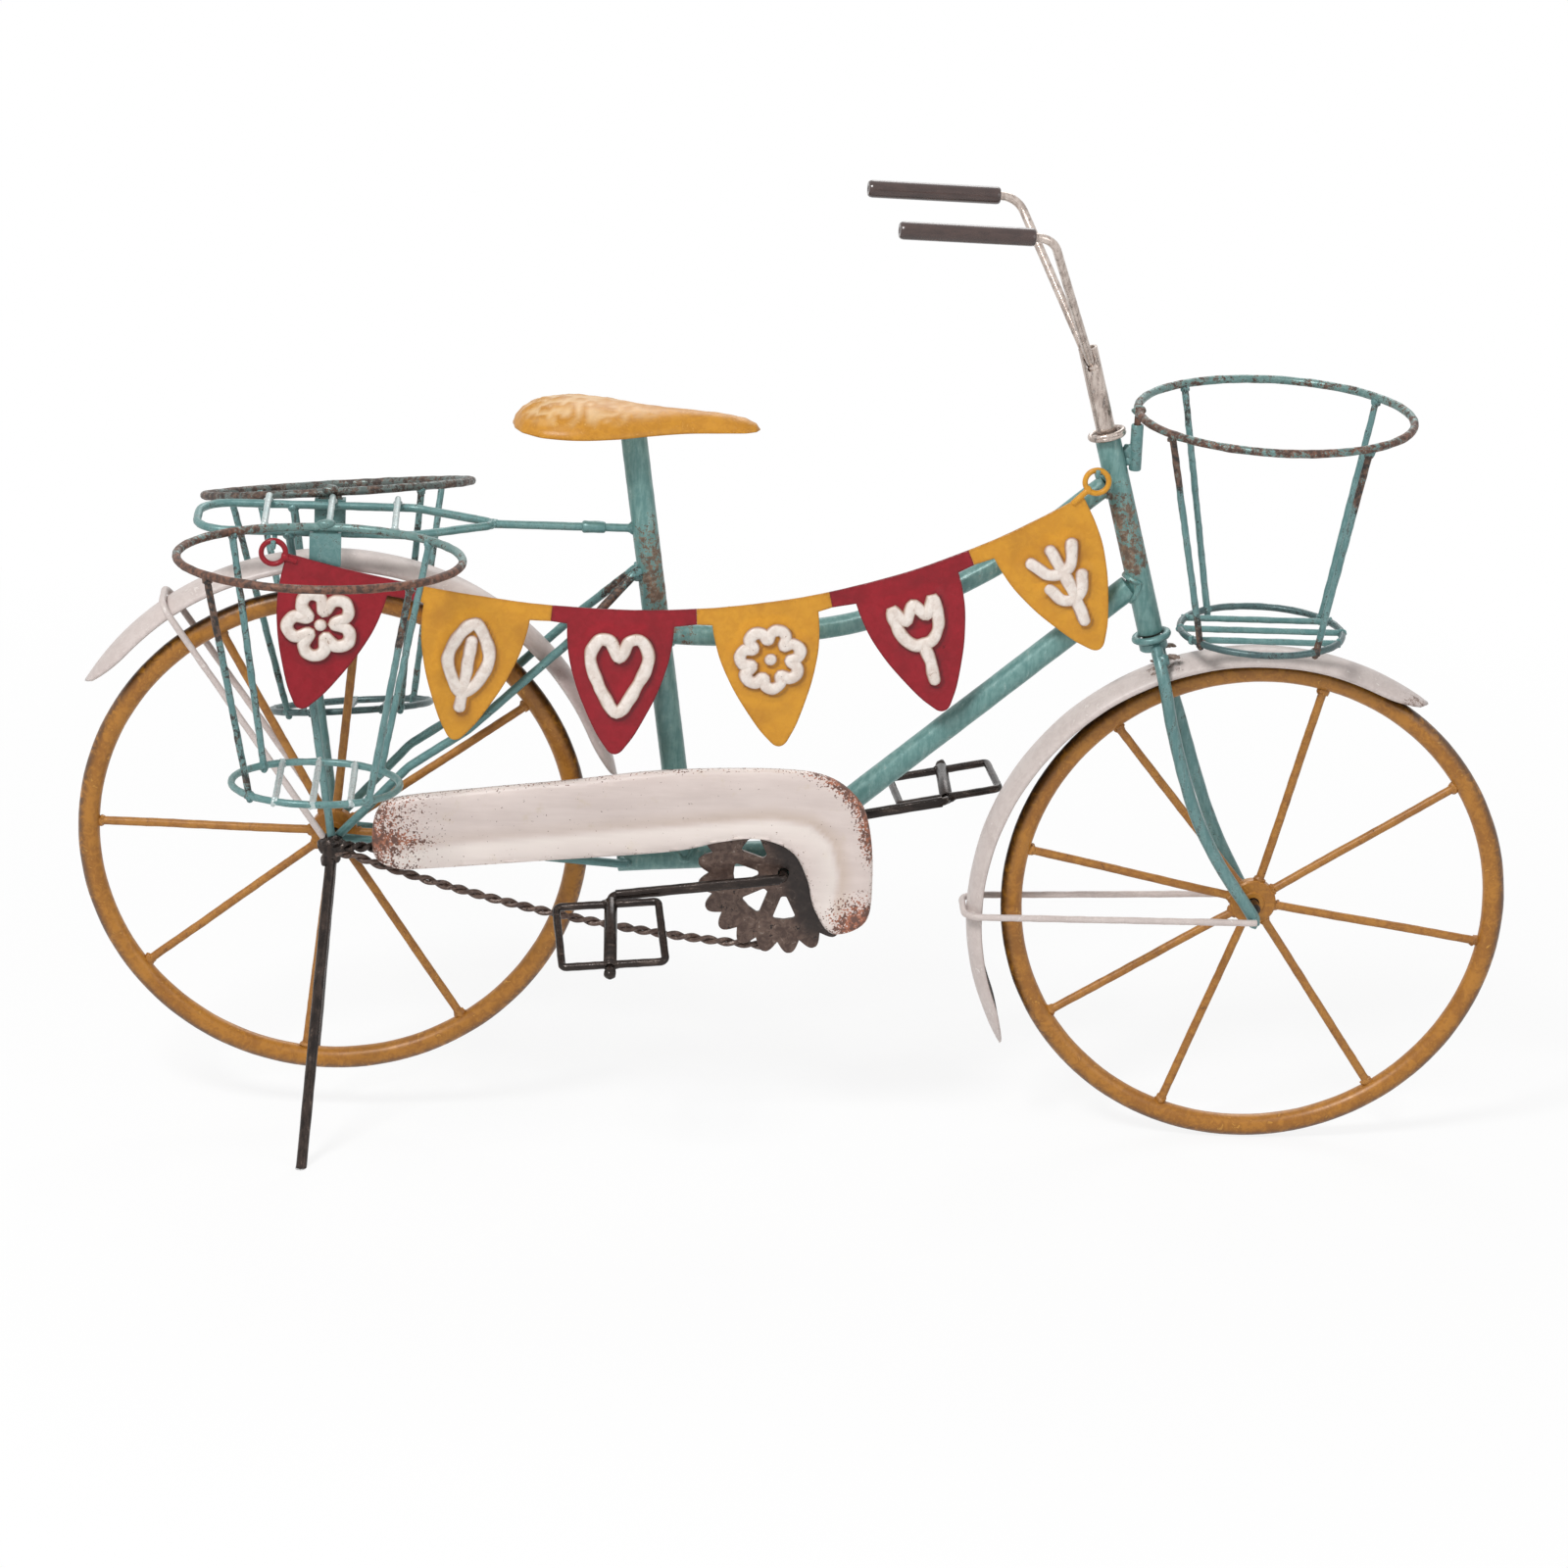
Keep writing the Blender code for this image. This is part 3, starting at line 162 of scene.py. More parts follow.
def paint(name, slot, base, tint, rust_colour, dark, rust, grime, roughness, metallic=0.0, spots=(),
          patch=9.0, bump=0.35, coat=0.0, streak=None, pale=None, marks=None, shine=0.5):
    """Brushed paint on iron: two shades, streaks, rust in patches and specks, and dark grime.

    Rust and grime run from 0, none, to 1, nearly everywhere. A spot is a place, a radius and how
    much more rust there is at its middle. The "mark" that a mesh carries darkens the paint if marks
    is "dark", as painted shade and shadow (and the pennants' stains); darkens it in streaks as
    painted shade if it is "streaky"; lightens it as painted highlights on paint worn pale if it is
    "pale"; and adds rust if it is "rust".
    """
    net = Material(name, slot)
    rust_colour, dark = srgb(*rust_colour), srgb(*dark)
    large = net.noise(patch, 4, 0.6, warp=0.5)
    middle = net.noise(2.1, 5, 0.65)
    fine = net.noise(0.45, 3, 0.6)
    lines = net.noise(1.6, 4, 0.65, streak) if streak else net.noise(2.8, 4, 0.65, warp=0.8)
    shade = net.total((lines, 0.6), (large, 0.4))
    colour = net.mix(net.step(shade, 0.40, 0.60), srgb(*base), srgb(*tint))
    if pale:
        colour = net.mix(net.step(lines, 0.60, 0.72), colour, srgb(*pale))
    wear = [(large, 0.36), (middle, 0.36), (fine, 0.28)]
    wear += [(net.spot(centre, radius), strength) for centre, radius, strength in spots]
    if marks == "rust":
        wear.append((net.painted(), 0.22))
    edge = 0.66 - 0.22 * rust
    rusty = net.step(net.total(*wear), edge - 0.02, edge + 0.02)
    colour = net.mix(rusty, colour, net.mix(net.step(middle, 0.38, 0.62), rust_colour, dark))
    dirty = net.step(net.total((lines, 0.65), (fine, 0.35)), 0.67 - 0.20 * grime,
                     0.76 - 0.20 * grime)
    colour = net.mix(net.times(dirty, 0.8), colour, dark)
    # Painted shade and shadow; on the pennants also their darker edges and stains.
    if marks == "dark":
        colour = net.mix(net.painted(), colour, dark)
    # Painted highlights, on paint that is also worn pale.
    if marks == "pale":
        colour = net.mix(net.painted(), colour, srgb(238, 208, 160))
    # Painted shade, broken into streaks.
    if marks == "streaky":
        shown = net.times(net.painted(), net.step(shade, 0.30, 0.55))
        colour = net.mix(shown, colour, dark)
    rough = net.plus(net.times(rusty, 0.25), roughness - 0.10)
    rough = net.plus(rough, net.times(middle, 0.20), clamp=True)
    net.shader.inputs["Metallic"].default_value = metallic
    net.shader.inputs["Specular IOR Level"].default_value = shine
    if coat:
        net.shader.inputs["Coat Weight"].default_value = coat
        net.shader.inputs["Coat Roughness"].default_value = 0.2
    relief = net.total((middle, 0.6), (lines, 0.4), (rusty, -0.12))
    return net.shade(colour, rough, relief, bump)


RUST = (112, 84, 68)
BLACKENED = (44, 44, 43)
UPRIGHT = (1, 1, 0.16)
LENGTHWAYS = (0.16, 1, 1)
teal = paint("teal_paint", "teal_patina", (88, 128, 127), (112, 148, 146), RUST, BLACKENED,
             0.24, 0.62, 0.36, 0.15, pale=(150, 180, 178))
teal_upright = paint("teal_upright_paint", "teal_patina", (86, 125, 125), (112, 147, 146), RUST,
                     BLACKENED, 0.26, 0.66, 0.34, 0.15, streak=UPRIGHT, pale=(152, 182, 180),
                     marks="rust")
teal_tube = paint("teal_tube_paint", "teal_patina", (90, 132, 129), (114, 152, 148),
                  (138, 114, 94), (96, 80, 68), 0.06, 0.34, 0.34, 0.1, patch=4.0, streak=UPRIGHT,
                  pale=(142, 174, 170),
                  spots=(((-56, -6, 226), 19, 0.16), ((-51, -6, 208), 19, 0.20),
                         ((-47, -6, 190), 16, 0.15), ((112, -4, 240), 26, 0.17),
                         ((116, -4, 222), 16, 0.14), ((104, -4, 212), 9, 0.14)))
teal_stay = paint("teal_stay_paint", "teal_patina", (84, 124, 124), (104, 144, 142), RUST,
                  BLACKENED, 0.20, 0.62, 0.36, 0.15, streak=LENGTHWAYS, pale=(144, 174, 172),
                  spots=(((-72, -8, 204), 26, 0.24),))
teal_dark = paint("teal_dark_paint", "teal_patina", (62, 86, 88), (84, 112, 112), (88, 70, 60),
                  (38, 38, 38), 0.40, 0.75, 0.34, 0.2, pale=(122, 148, 148))
teal_rusty = paint("teal_rusted_paint", "teal_patina", (94, 126, 123), (116, 148, 144),
                   (128, 88, 70), (70, 54, 47), 0.46, 0.55, 0.36, 0.2, patch=6.0,
                   pale=(150, 172, 168), marks="rust")
teal_worn = paint("teal_worn_paint", "teal_patina", (88, 100, 97), (108, 122, 118), (110, 84, 70),
                  (58, 50, 46), 0.44, 0.60, 0.36, 0.2, patch=6.0, pale=(146, 160, 156),
                  marks="rust")
# A pale copy of the teal paint: painted highlights on the rack's cross wires and the near
# holder's bars, which catch the light from above.
teal_highlit = paint("teal_highlit_paint", "teal_patina", (170, 188, 188), (200, 210, 208),
                  (120, 108, 100), (60, 66, 68), 0.22, 0.66, 0.34, 0.3)
mustard = paint("mustard_paint", "mustard_paint", (176, 118, 40), (150, 96, 30), (122, 78, 36),
                (72, 46, 28), 0.10, 0.16, 0.38, 0.05, patch=16.0, bump=0.2, pale=(200, 144, 58),
                marks="streaky")
mustard_spoke = paint("mustard_spoke_paint", "mustard_paint", (172, 118, 50), (150, 98, 40),
                      (112, 76, 44), (82, 56, 36), 0.20, 0.35, 0.44, 0.05, patch=12.0)
cream = paint("cream_paint", "cream_paint", (208, 196, 191), (197, 184, 179), (150, 122, 106),
              (124, 106, 98), 0.05, 0.14, 0.40, patch=18.0, bump=0.12, pale=(222, 213, 208),
              spots=(((128, -4, 188), 14, 0.18), ((140, -4, 188), 9, 0.08),
                     ((222, -6, 172), 13, 0.12), ((-91, -6, 172), 13, 0.12)))
iron = paint("dark_iron", "dark_iron", (32, 25, 22), (62, 50, 44), (88, 64, 50), (17, 14, 13),
             0.22, 0.46, 0.24, 0.5, streak=UPRIGHT, pale=(130, 112, 100))
iron_bar = paint("dark_iron_bar", "dark_iron", (32, 25, 22), (54, 44, 39), (84, 62, 50),
                 (17, 14, 13), 0.18, 0.40, 0.24, 0.5, streak=LENGTHWAYS, pale=(112, 98, 88))
ring_iron = paint("rusted_iron", "dark_iron", (72, 54, 47), (104, 84, 74), (126, 84, 64),
                  (27, 22, 21), 0.38, 0.48, 0.36, 0.25, patch=5.0, bump=0.7, pale=(162, 142, 130),
                  marks="dark")
weld_iron = paint("weld_rust", "dark_iron", (140, 120, 108), (118, 100, 90), (110, 84, 68),
                  (66, 56, 50), 0.40, 0.50, 0.5)
grip_black = paint("grip_finish", "black_grip", (54, 36, 32), (68, 48, 43), (104, 82, 72),
                   (32, 22, 20), 0.12, 0.25, 0.26, streak=LENGTHWAYS, bump=0.05, coat=0.5)
silver = paint("worn_silver", "worn_silver", (206, 193, 184), (172, 157, 148), (122, 102, 90),
               (74, 62, 56), 0.18, 0.58, 0.22, 0.85, patch=6.0, streak=UPRIGHT,
               pale=(232, 224, 218))
crimson = paint("crimson_paint", "pennant_paint", (150, 22, 36), (138, 17, 30), (112, 18, 30),
                (80, 14, 22), 0.04, 0.05, 0.34, patch=14.0, bump=0.25, marks="dark", shine=0.35)
yellow = paint("yellow_paint", "pennant_paint", (212, 150, 44), (204, 141, 40), (168, 110, 38),
               (140, 86, 32), 0.04, 0.08, 0.36, patch=14.0, bump=0.25, marks="dark", shine=0.35)
relief_cream = paint("relief_cream", "pennant_paint", (236, 226, 218), (220, 206, 196),
                     (186, 150, 122), (150, 104, 74), 0.14, 0.30, 0.36, patch=5.0, bump=0.2,
                     marks="dark")
ochre = paint("saddle_paint", "saddle_paint", (200, 139, 42), (184, 124, 34), (154, 98, 40),
              (118, 78, 40), 0.08, 0.18, 0.40, patch=12.0, bump=0.3, pale=(214, 160, 76),
              marks="pale", shine=0.4)


def guard_paint():
    """Cream paint whose rust specks thicken where the mesh is marked."""
    net = Material("guard_paint", "cream_paint")
    fine = net.noise(0.75, 2, 0.5)
    middle = net.noise(2.2, 4, 0.6)
    large = net.noise(16.0, 4, 0.6, (0.4, 1, 1))
    brushed = net.noise(2.4, 3, 0.6, (0.10, 1, 1))
    shade = net.total((large, 0.65), (brushed, 0.35))
    colour = net.mix(net.step(shade, 0.38, 0.64), srgb(220, 206, 200), srgb(209, 194, 188))
    # A stain in patches; painted light below the crease and on the rolled edge; painted shade
    # in the crease.
    for cover, share, over in (
            (net.step(net.noise(6.0, 5, 0.7), 0.58, 0.72), 0.5, srgb(206, 190, 170)),
            (net.painted("lit"), 0.65, srgb(236, 227, 220)),
            (net.painted("crease"), 0.55, srgb(190, 168, 148))):
        colour = net.mix(net.times(cover, share), colour, over)
    rusty = net.step(net.total((fine, 0.66), (middle, 0.34), (net.painted(), 0.30)), 0.665, 0.680)
    rust_colour = net.mix(net.step(middle, 0.42, 0.58), srgb(166, 98, 68), srgb(92, 54, 40))
    colour = net.mix(net.times(rusty, 0.94), colour, rust_colour)
    rough = net.plus(net.times(rusty, 0.28), 0.36)
    return net.shade(colour, rough, net.total((brushed, 0.25), (rusty, -0.3)), 0.3)


guard_cream = guard_paint()


# ---------------------------------------------------------------- shapes

def across(direction):
    side = direction.cross(UP)
    if side.length < 0.2:
        side = direction.cross(AHEAD)
    side.normalize()
    return side, side.cross(direction).normalized()


def refine(points, step, closed=False):
    """The same line with extra points, no further apart than step."""
    out = []
    count = len(points)
    for index in range(count if closed else count - 1):
        a, b = points[index], points[(index + 1) % count]
        parts = max(1, ceil((b - a).length / step))
        out += [a.lerp(b, part / parts) for part in range(parts)]
    if not closed:
        out.append(points[-1])
    return out


def rounded(points, radius, steps=7, closed=False):
    """The polyline with each inner corner turned into an arc."""
    points = vectors(points)
    out = []
    count = len(points)
    for index, point in enumerate(points):
        if not closed and index in (0, count - 1):
            out.append(point.copy())
            continue
        back = points[index - 1] - point
        ahead = points[(index + 1) % count] - point
        opening = back.angle(ahead)
        if pi - opening < radians(2):
            out.append(point.copy())
            continue
        half_tan = sin(opening / 2) / cos(opening / 2)
        reach = min(radius / half_tan, back.length * 0.49, ahead.length * 0.49)
        start = point + back.normalized() * reach
        middle = (back.normalized() + ahead.normalized()).normalized()
        centre = point + middle * (reach * half_tan / sin(opening / 2))
        normal = back.cross(ahead).normalized()
        for step in range(steps + 1):
            turned = Matrix.Rotation(-(pi - opening) * step / steps, 3, normal) @ (start - centre)
            out.append(centre + turned)
    return out


def flowing(points, steps=8, closed=False):
    """A smooth curve through the points."""
    count = len(points)
    if closed:
        padded = [points[-1], *points, points[0], points[1]]
    else:
        padded = [points[0] * 2 - points[1], *points, points[-1] * 2 - points[-2]]
    out = []
    for index in range(1, count + 1 if closed else count):
        p0, p1, p2, p3 = padded[index - 1:index + 3]
        for step in range(steps):
            t = step / steps
            out.append((p1 * 2 + (p2 - p0) * t + (p0 * 2 - p1 * 5 + p2 * 4 - p3) * t ** 2
                        + (p1 * 3 - p0 - p2 * 3 + p3) * t ** 3) / 2)
    if not closed:
        out.append(points[-1].copy())
    return out


def circle(centre, axis, radius, steps):
    side, other = across(axis)
    angles = [tau * k / steps for k in range(steps)]
    return [centre + side * (radius * cos(a)) + other * (radius * sin(a)) for a in angles]


def hoop(low, high, count):
    """The faces between two rings of points, from the number of each ring's first point."""
    return [(low + k, low + (k + 1) % count, high + (k + 1) % count, high + k)
            for k in range(count)]


def grid(rows, columns):
    """The faces of a sheet that has one more row and one more column of points."""
    width = columns + 1
    return [(r * width + c, r * width + c + 1, (r + 1) * width + c + 1, (r + 1) * width + c)
            for r in range(rows) for c in range(columns)]


class Shape:
    """Vertices and faces of one piece, in millimetres."""

    def __init__(self):
        self.verts = []
        self.faces = []

    def add(self, verts, faces):
        start = len(self.verts)
        self.verts += verts
        self.faces += [tuple(index + start for index in face) for face in faces]
        return self

    def rings(self, rings, closed=False):
        """Skins a list of rings that all have the same number of points."""
        size = len(rings[0])
        count = len(rings)
        faces = []
        for level in range(count if closed else count - 1):
            faces += hoop(level * size, (level + 1) % count * size, size)
        if not closed:
            faces += [tuple(range(size))[::-1], tuple(range((count - 1) * size, count * size))]
        return self.add([point for ring in rings for point in ring], faces)

    def tube(self, points, radius, sides=14, closed=False, lump=0.03, grain=4.0, step=2.0,
             flat=0.35):
        """A wire along the points with rounded ends, and a hand-made unevenness of its radius."""
        line = refine(vectors(points), step, closed)
        count = len(line)
        tangents = []
        for index in range(count):
            before = line[index - 1] if closed or index else line[index]
            after = line[(index + 1) % count] if closed or index < count - 1 else line[index]
            tangents.append((after - before).normalized())
        side = across(tangents[0])[0]
        rings = []
        for point, tangent in zip(line, tangents):
            side = (side - tangent * side.dot(tangent)).normalized()
            other = tangent.cross(side)
            ring = []
            for corner in range(sides):
                angle = tau * corner / sides
                way = side * cos(angle) + other * sin(angle)
                bulge = 1 + lump * 2 * noise.noise((point + way * radius) / grain)
                ring.append((way * (radius * bulge), point, tangent))
            rings.append(ring)
        skins = [[p + w for w, p, t in ring] for ring in rings]
        if not closed:
            for share in (0.4, 0.75, 0.97):
                drawn_in, reach = sqrt(1 - share ** 2), radius * flat * share
                skins.insert(0, [p + w * drawn_in - t * reach for w, p, t in rings[0]])
                skins.append([p + w * drawn_in + t * reach for w, p, t in rings[-1]])
        return self.rings(skins, closed)

    def rod(self, start, end, radius, sides, lump=0.012):
        return self.tube((start, end), radius, sides, False, lump, 6.0, 4.0, 0.12)

    def lathe(self, centre, axis, profile, steps=36):
        """A closed profile of (radius, height) turned round an axis."""
        side, other = across(axis)
        rings = []
        for step in range(steps):
            angle = tau * step / steps
            way = side * cos(angle) + other * sin(angle)
            rings.append([centre + way * r + axis * h for r, h in profile])
        return self.rings(rings, closed=True)

    def blob(self, centre, radii, lump=0.18, grain=1.6, columns=14, rows=9):
        """A lumpy bead, such as a weld spot."""
        centre = Vector(centre)
        ways = []
        for row in range(1, rows):
            down = pi * row / rows
            for column in range(columns):
                angle = tau * column / columns
                ways.append(Vector((sin(down) * cos(angle), sin(down) * sin(angle), cos(down))))
        verts = []
        for way in (*ways, UP, -UP):
            offset = Vector((way.x * radii[0], way.y * radii[1], way.z * radii[2]))
            bulge = 1 + lump * 2 * noise.noise((centre + offset) / grain)
            verts.append(centre + offset * bulge)
        faces = []
        for row in range(rows - 2):
            faces += hoop(row * columns, (row + 1) * columns, columns)
        top, foot = len(verts) - 2, len(verts) - 1
        base = (rows - 2) * columns
        for column in range(columns):
            nxt = (column + 1) % columns
            faces += [(top, nxt, column), (foot, base + column, base + nxt)]
        return self.add(verts, faces)

    def seam(self, a_start, a_end, a_radius, b_start, b_end, b_radius, size=0.9):
        """The weld bead where tube b leaves the side of tube a."""
        axis = (a_end - a_start).normalized()
        way = (b_end - b_start).normalized()
        side, other = across(way)
        d = way - axis * way.dot(axis)
        line = []
        for k in range(30):
            angle = tau * k / 30
            q = b_start + side * (b_radius * cos(angle)) + other * (b_radius * sin(angle))
            w = q - a_start
            w -= axis * w.dot(axis)
            a, b, c = d.dot(d), 2 * w.dot(d), w.dot(w) - a_radius ** 2
            inside = max(b * b - 4 * a * c, 0)
            line.append(q + way * ((-b + sqrt(inside)) / (2 * a)))
        return self.tube(line, size, 9, True, 0.22, 1.8, 1.0)


SHARP_ANGLE = 38


def link(name, data):
    obj = bpy.data.objects.new(name, data)
    bpy.context.scene.collection.objects.link(obj)
    return obj


def finish_piece(obj, material, body, stands_for, sharp):
    obj.data.materials.append(material)
    obj.data.shade_smooth()
    obj.data.set_sharp_from_angle(angle=radians(sharp))
    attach(obj, body)
    if stands_for:
        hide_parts(*stands_for)
    return obj


def piece(name, shape, material, body, *stands_for, turn=None, sharp=SHARP_ANGLE):
    """Makes a piece from a shape, with its faces turned outward, and rides it on a body."""
    mesh = bpy.data.meshes.new(name)
    mesh.from_pydata([tuple(v * MM) for v in shape.verts], [], shape.faces)
    bm = bmesh.new()
    bm.from_mesh(mesh)
    bmesh.ops.recalc_face_normals(bm, faces=bm.faces)
    bm.to_mesh(mesh)
    bm.free()
    if turn is not None:
        mesh.transform(turn)
    return finish_piece(link(name, mesh), material, body, stands_for, sharp)


def stand_in(node, shape, material, body, **options):
    """Makes the piece that is seen in place of a CAD node."""
    return piece(node + "_visual", shape, material, body, node, **options)


def mark(obj, strength, name="mark"):
    """Stores at each vertex how strongly it is marked there; strength takes millimetres."""
    made = obj.data.attributes.new(name, "FLOAT", "POINT")
    made.data.foreach_set("value", [strength(vert.co / MM) for vert in obj.data.vertices])
    return obj


def thicken(obj, thickness):
    """Gives a sheet its thickness, on the back of its faces."""
    change = obj.modifiers.new("sheet", "SOLIDIFY")
    change.thickness = thickness * MM
    change.offset = -1.0
    change.use_quality_normals = True
    return obj


def soften(obj, width, segments, angle=30):
    """Rounds the edges whose faces meet at more than an angle."""
    change = obj.modifiers.new("edge", "BEVEL")
    change.width = width * MM
    change.segments = segments
    change.limit_method = "ANGLE"
    change.angle_limit = radians(angle)


def facing_up(obj):
    """Turns a sheet's faces over if the highest one looks down."""
    if max(obj.data.polygons, key=lambda f: f.center.z).normal.z < 0:
        obj.data.flip_normals()
    return obj


def sheet(name, bm, material, body, stands_for, front, thickness, sharp=SHARP_ANGLE, **marks):
    """Makes a thick piece from a flat bmesh in millimetres whose faces look to the front."""
    bmesh.ops.recalc_face_normals(bm, faces=bm.faces)
    mesh = bpy.data.meshes.new(name)
    bm.to_mesh(mesh)
    bm.free()
    mesh.transform(Matrix.Scale(MM, 4))
    obj = link(name, mesh)
    for kind, strength in marks.items():
        mark(obj, strength, kind)
    finish_piece(obj, material, body, stands_for, sharp)
    if sum((f.normal @ front) * f.area for f in mesh.polygons) < 0:
        mesh.flip_normals()
    return thicken(obj, thickness)


def repaint(obj, material):
    obj.data.materials.clear()
    obj.data.materials.append(material)


# ---------------------------------------------------------------- wheels

# The rims and spokes are as thick as in the photograph, so the rims grow inward from the outside
# of the CAD wheel.
WHEEL_RADIUS = 93.2
RIM_WIRE = 3.95
RIM_LINE = WHEEL_RADIUS - RIM_WIRE
RIM_INSIDE = RIM_LINE - RIM_WIRE
SPOKE_WIRE = 1.58
HUB_HALF = [(2.3, -3.1), (3.9, -3.1), (4.3, -2.6), (7.9, -2.3), (8.5, -1.7)]
HUB_PROFILE = [*HUB_HALF, (8.6, 0), *((reach, -high) for reach, high in reversed(HUB_HALF))]


def wheel(prefix, hub, angles):
    rim = Shape().tube(circle(hub, LEFT, RIM_LINE, 150), RIM_WIRE, 22, True, 0.012, 9.0, 6.0)
    # Painted shade: the rim's outer side is marked, and the paint darkens it there in streaks.
    mark(stand_in(prefix + "_rim", rim, mustard, prefix),
         lambda place: clamped(((place - hub).length - 90.0) / 2.6) * 0.9)
    piece(prefix + "_hub_visual", Shape().lathe(hub, LEFT, HUB_PROFILE, 48), mustard, prefix)
    spokes = Shape()
    for index, angle in enumerate(angles):
        way = Vector((cos(radians(angle)), 0, sin(radians(angle))))
        start = hub + way * 6.5
        end = hub + way * (RIM_INSIDE + 0.5)
        bow = LEFT * (0.25 * (-1) ** index)
        spokes.tube((start, start.lerp(end, 0.33) + bow, start.lerp(end, 0.66) - bow, end),
                    SPOKE_WIRE, 12, lump=0.035, grain=3.5)
        spokes.blob(hub + way * (RIM_INSIDE - 0.2), (2.2, 1.9, 2.2), 0.25, 1.2)
        spokes.blob(hub + way * 8.2, (2.1, 2.0, 2.1), 0.25, 1.2)
    piece(prefix + "_spokes_visual", spokes, mustard_spoke, prefix, prefix + "_hub_spokes")


wheel("front_wheel", FRONT_HUB, (33, 76, 129, 168, 212, 250, 304, 351))
wheel("rear_wheel", REAR_HUB, (36, 85, 119, 179, 218, 264, 304, 358))

# ---------------------------------------------------------------- frame tubes

SEAT_RADIUS = 4.7
TUBE_RADIUS = 4.6
TOP_RADIUS = 3.9
SEAT_FOOT = Vector((-40.71, 0, 104.72))
SEAT_TOP = Vector((-65.9, 0, 273.2))
BOTTOM_REAR = Vector((-65.15, 0, 103.01))
BOTTOM_NOSE = Vector((2.18, 0, 107.72))
DOWN_TOP = Vector((116.41, 0, 212.95))
HEAD_LOW = on_head(4.0)
HEAD_HIGH = on_head(79.0)
TOP_LINE = vectors(((105.93, 0, 251.21), (65.43, 0, 218.32), (21.44, 0, 197.58),
                    (-20.91, 0, 190.67), (-53.49, 0, 190.22)))

seat_tube = Shape().rod(SEAT_FOOT, SEAT_TOP, SEAT_RADIUS, 30)
seat_tube.seam(BOTTOM_REAR, BOTTOM_NOSE, TUBE_RADIUS, SEAT_FOOT, SEAT_TOP, SEAT_RADIUS, 1.1)
down_tube = Shape().rod(DOWN_TOP, BRACKET, TUBE_RADIUS, 30)
down_tube.seam(HEAD_LOW, HEAD_HIGH, TUBE_RADIUS, DOWN_TOP, BRACKET, TUBE_RADIUS, 1.0)
down_tube.seam(BOTTOM_NOSE, BOTTOM_REAR, TUBE_RADIUS, BRACKET, DOWN_TOP, TUBE_RADIUS, 1.1)
bottom_tube = Shape().rod(BOTTOM_REAR, BOTTOM_NOSE, TUBE_RADIUS, 30)
bottom_tube.lathe(BRACKET, LEFT, [(3.4, -20.0), (3.4, 16.7), (3.0, 17.0), (1.95, 17.0),
                                  (1.95, -20.3), (3.0, -20.3)], 30)
top_tube = Shape().tube(flowing(TOP_LINE, 14), TOP_RADIUS, 28, False, 0.012, 7.0, 3.0, 0.1)
top_tube.seam(HEAD_LOW, HEAD_HIGH, TUBE_RADIUS, TOP_LINE[0], TOP_LINE[1], TOP_RADIUS, 1.0)
top_tube.seam(SEAT_FOOT, SEAT_TOP, SEAT_RADIUS, TOP_LINE[4], TOP_LINE[3], TOP_RADIUS, 1.0)
head_tube = Shape().lathe(CROWN, HEAD_AXIS, [(3.85, 4.0), (4.4, 4.0), (4.6, 4.3), (4.6, 41.0),
                                             (4.6, 78.7), (4.4, 79.0), (3.85, 79.0)])
for name, shape in (("seat_tube", seat_tube), ("down_tube", down_tube),
                    ("bottom_tube", bottom_tube), ("top_tube", top_tube),
                    ("head_tube", head_tube)):
    stand_in(name, shape, teal_tube, "frame")

# ---------------------------------------------------------------- stays and carrier

STAY_WIRE = 1.6
RACK_WIRE = 1.5
CROSS_WIRE = 1.2
RACK_Z = 229.6

for name, hand in HANDS:
    stay = Shape().tube(((-168.4, hand * 7.2, 111.0), (-62.16, hand * 6.5, 103.22)), STAY_WIRE,
                        lump=0.04)
    stay.blob((-63.5, hand * 5.9, 103.4), (3.2, 1.8, 2.0))
    stand_in("chain_stay_" + name, stay, teal_stay, "frame")
    line = rounded(((-168.2, hand * 11.5, 112.2), (-142.35, hand * 12.8, 140.79),
                    (-121.01, hand * 12.8, 155.68), (-82.27, hand * 12.8, 193.18),
                    (-62.4, hand * 2.5, 213.6)), 12.8)
    stay = Shape().tube(line, STAY_WIRE, lump=0.04)
    stay.blob((-61.6, hand * 2.6, 213.6), (2.3, 2.0, 2.8))
    stand_in("seat_stay_" + name, stay, teal_stay, "frame")
    strut = Shape().tube(((-169.4, hand * 15.0, 111.8), (-186.3, hand * 17.0, 228.6)), RACK_WIRE,
                         lump=0.04)
    strut.blob((-186.4, hand * 17.0, 228.4), (2.2, 2.0, 1.7))
    stand_in("rack_strut_" + name, strut, teal_upright, "frame")

loop_line = rounded([(x, y, RACK_Z) for x, y in (
    (-219.8, -17.0), (-142.3, -17.0), (-114.8, -2.2), (-114.8, 2.2), (-142.3, 17.0),
    (-219.8, 17.0))], 12.0, closed=True)
rack = Shape().tube(loop_line, RACK_WIRE, closed=True, lump=0.04)
stand_in("rack_loop", rack, teal, "frame")
bar = Shape().tube(((-114.6, 0, RACK_Z), (-59.4, 0, RACK_Z)), RACK_WIRE)
bar.tube(((-81.3, 0, RACK_Z), (-74.3, 0, RACK_Z)), 2.2, lump=0.06, flat=0.5)
bar.blob((-114.4, 0, RACK_Z), (2.6, 2.6, 1.7))
bar.blob((-63.8, 0, RACK_Z), (2.0, 2.6, 2.4))
stand_in("rack_bar", bar, teal, "frame")
for index, x in enumerate((-195.3, -172.3, -148.8)):
    cross = Shape().tube(((x, -18.3, 232.4), (x, 18.3, 232.4)), CROSS_WIRE, lump=0.06, grain=3.0,
                         flat=0.8)
    for name, hand in HANDS:
        cross.blob((x, hand * 16.9, 231.3), (1.7, 1.6, 1.3))
    stand_in("rack_cross_%d" % (index + 1), cross, teal_highlit, "frame")

# ---------------------------------------------------------------- axles and stand

AXLE_RADIUS = 2.0
LEG_RADIUS = 2.0

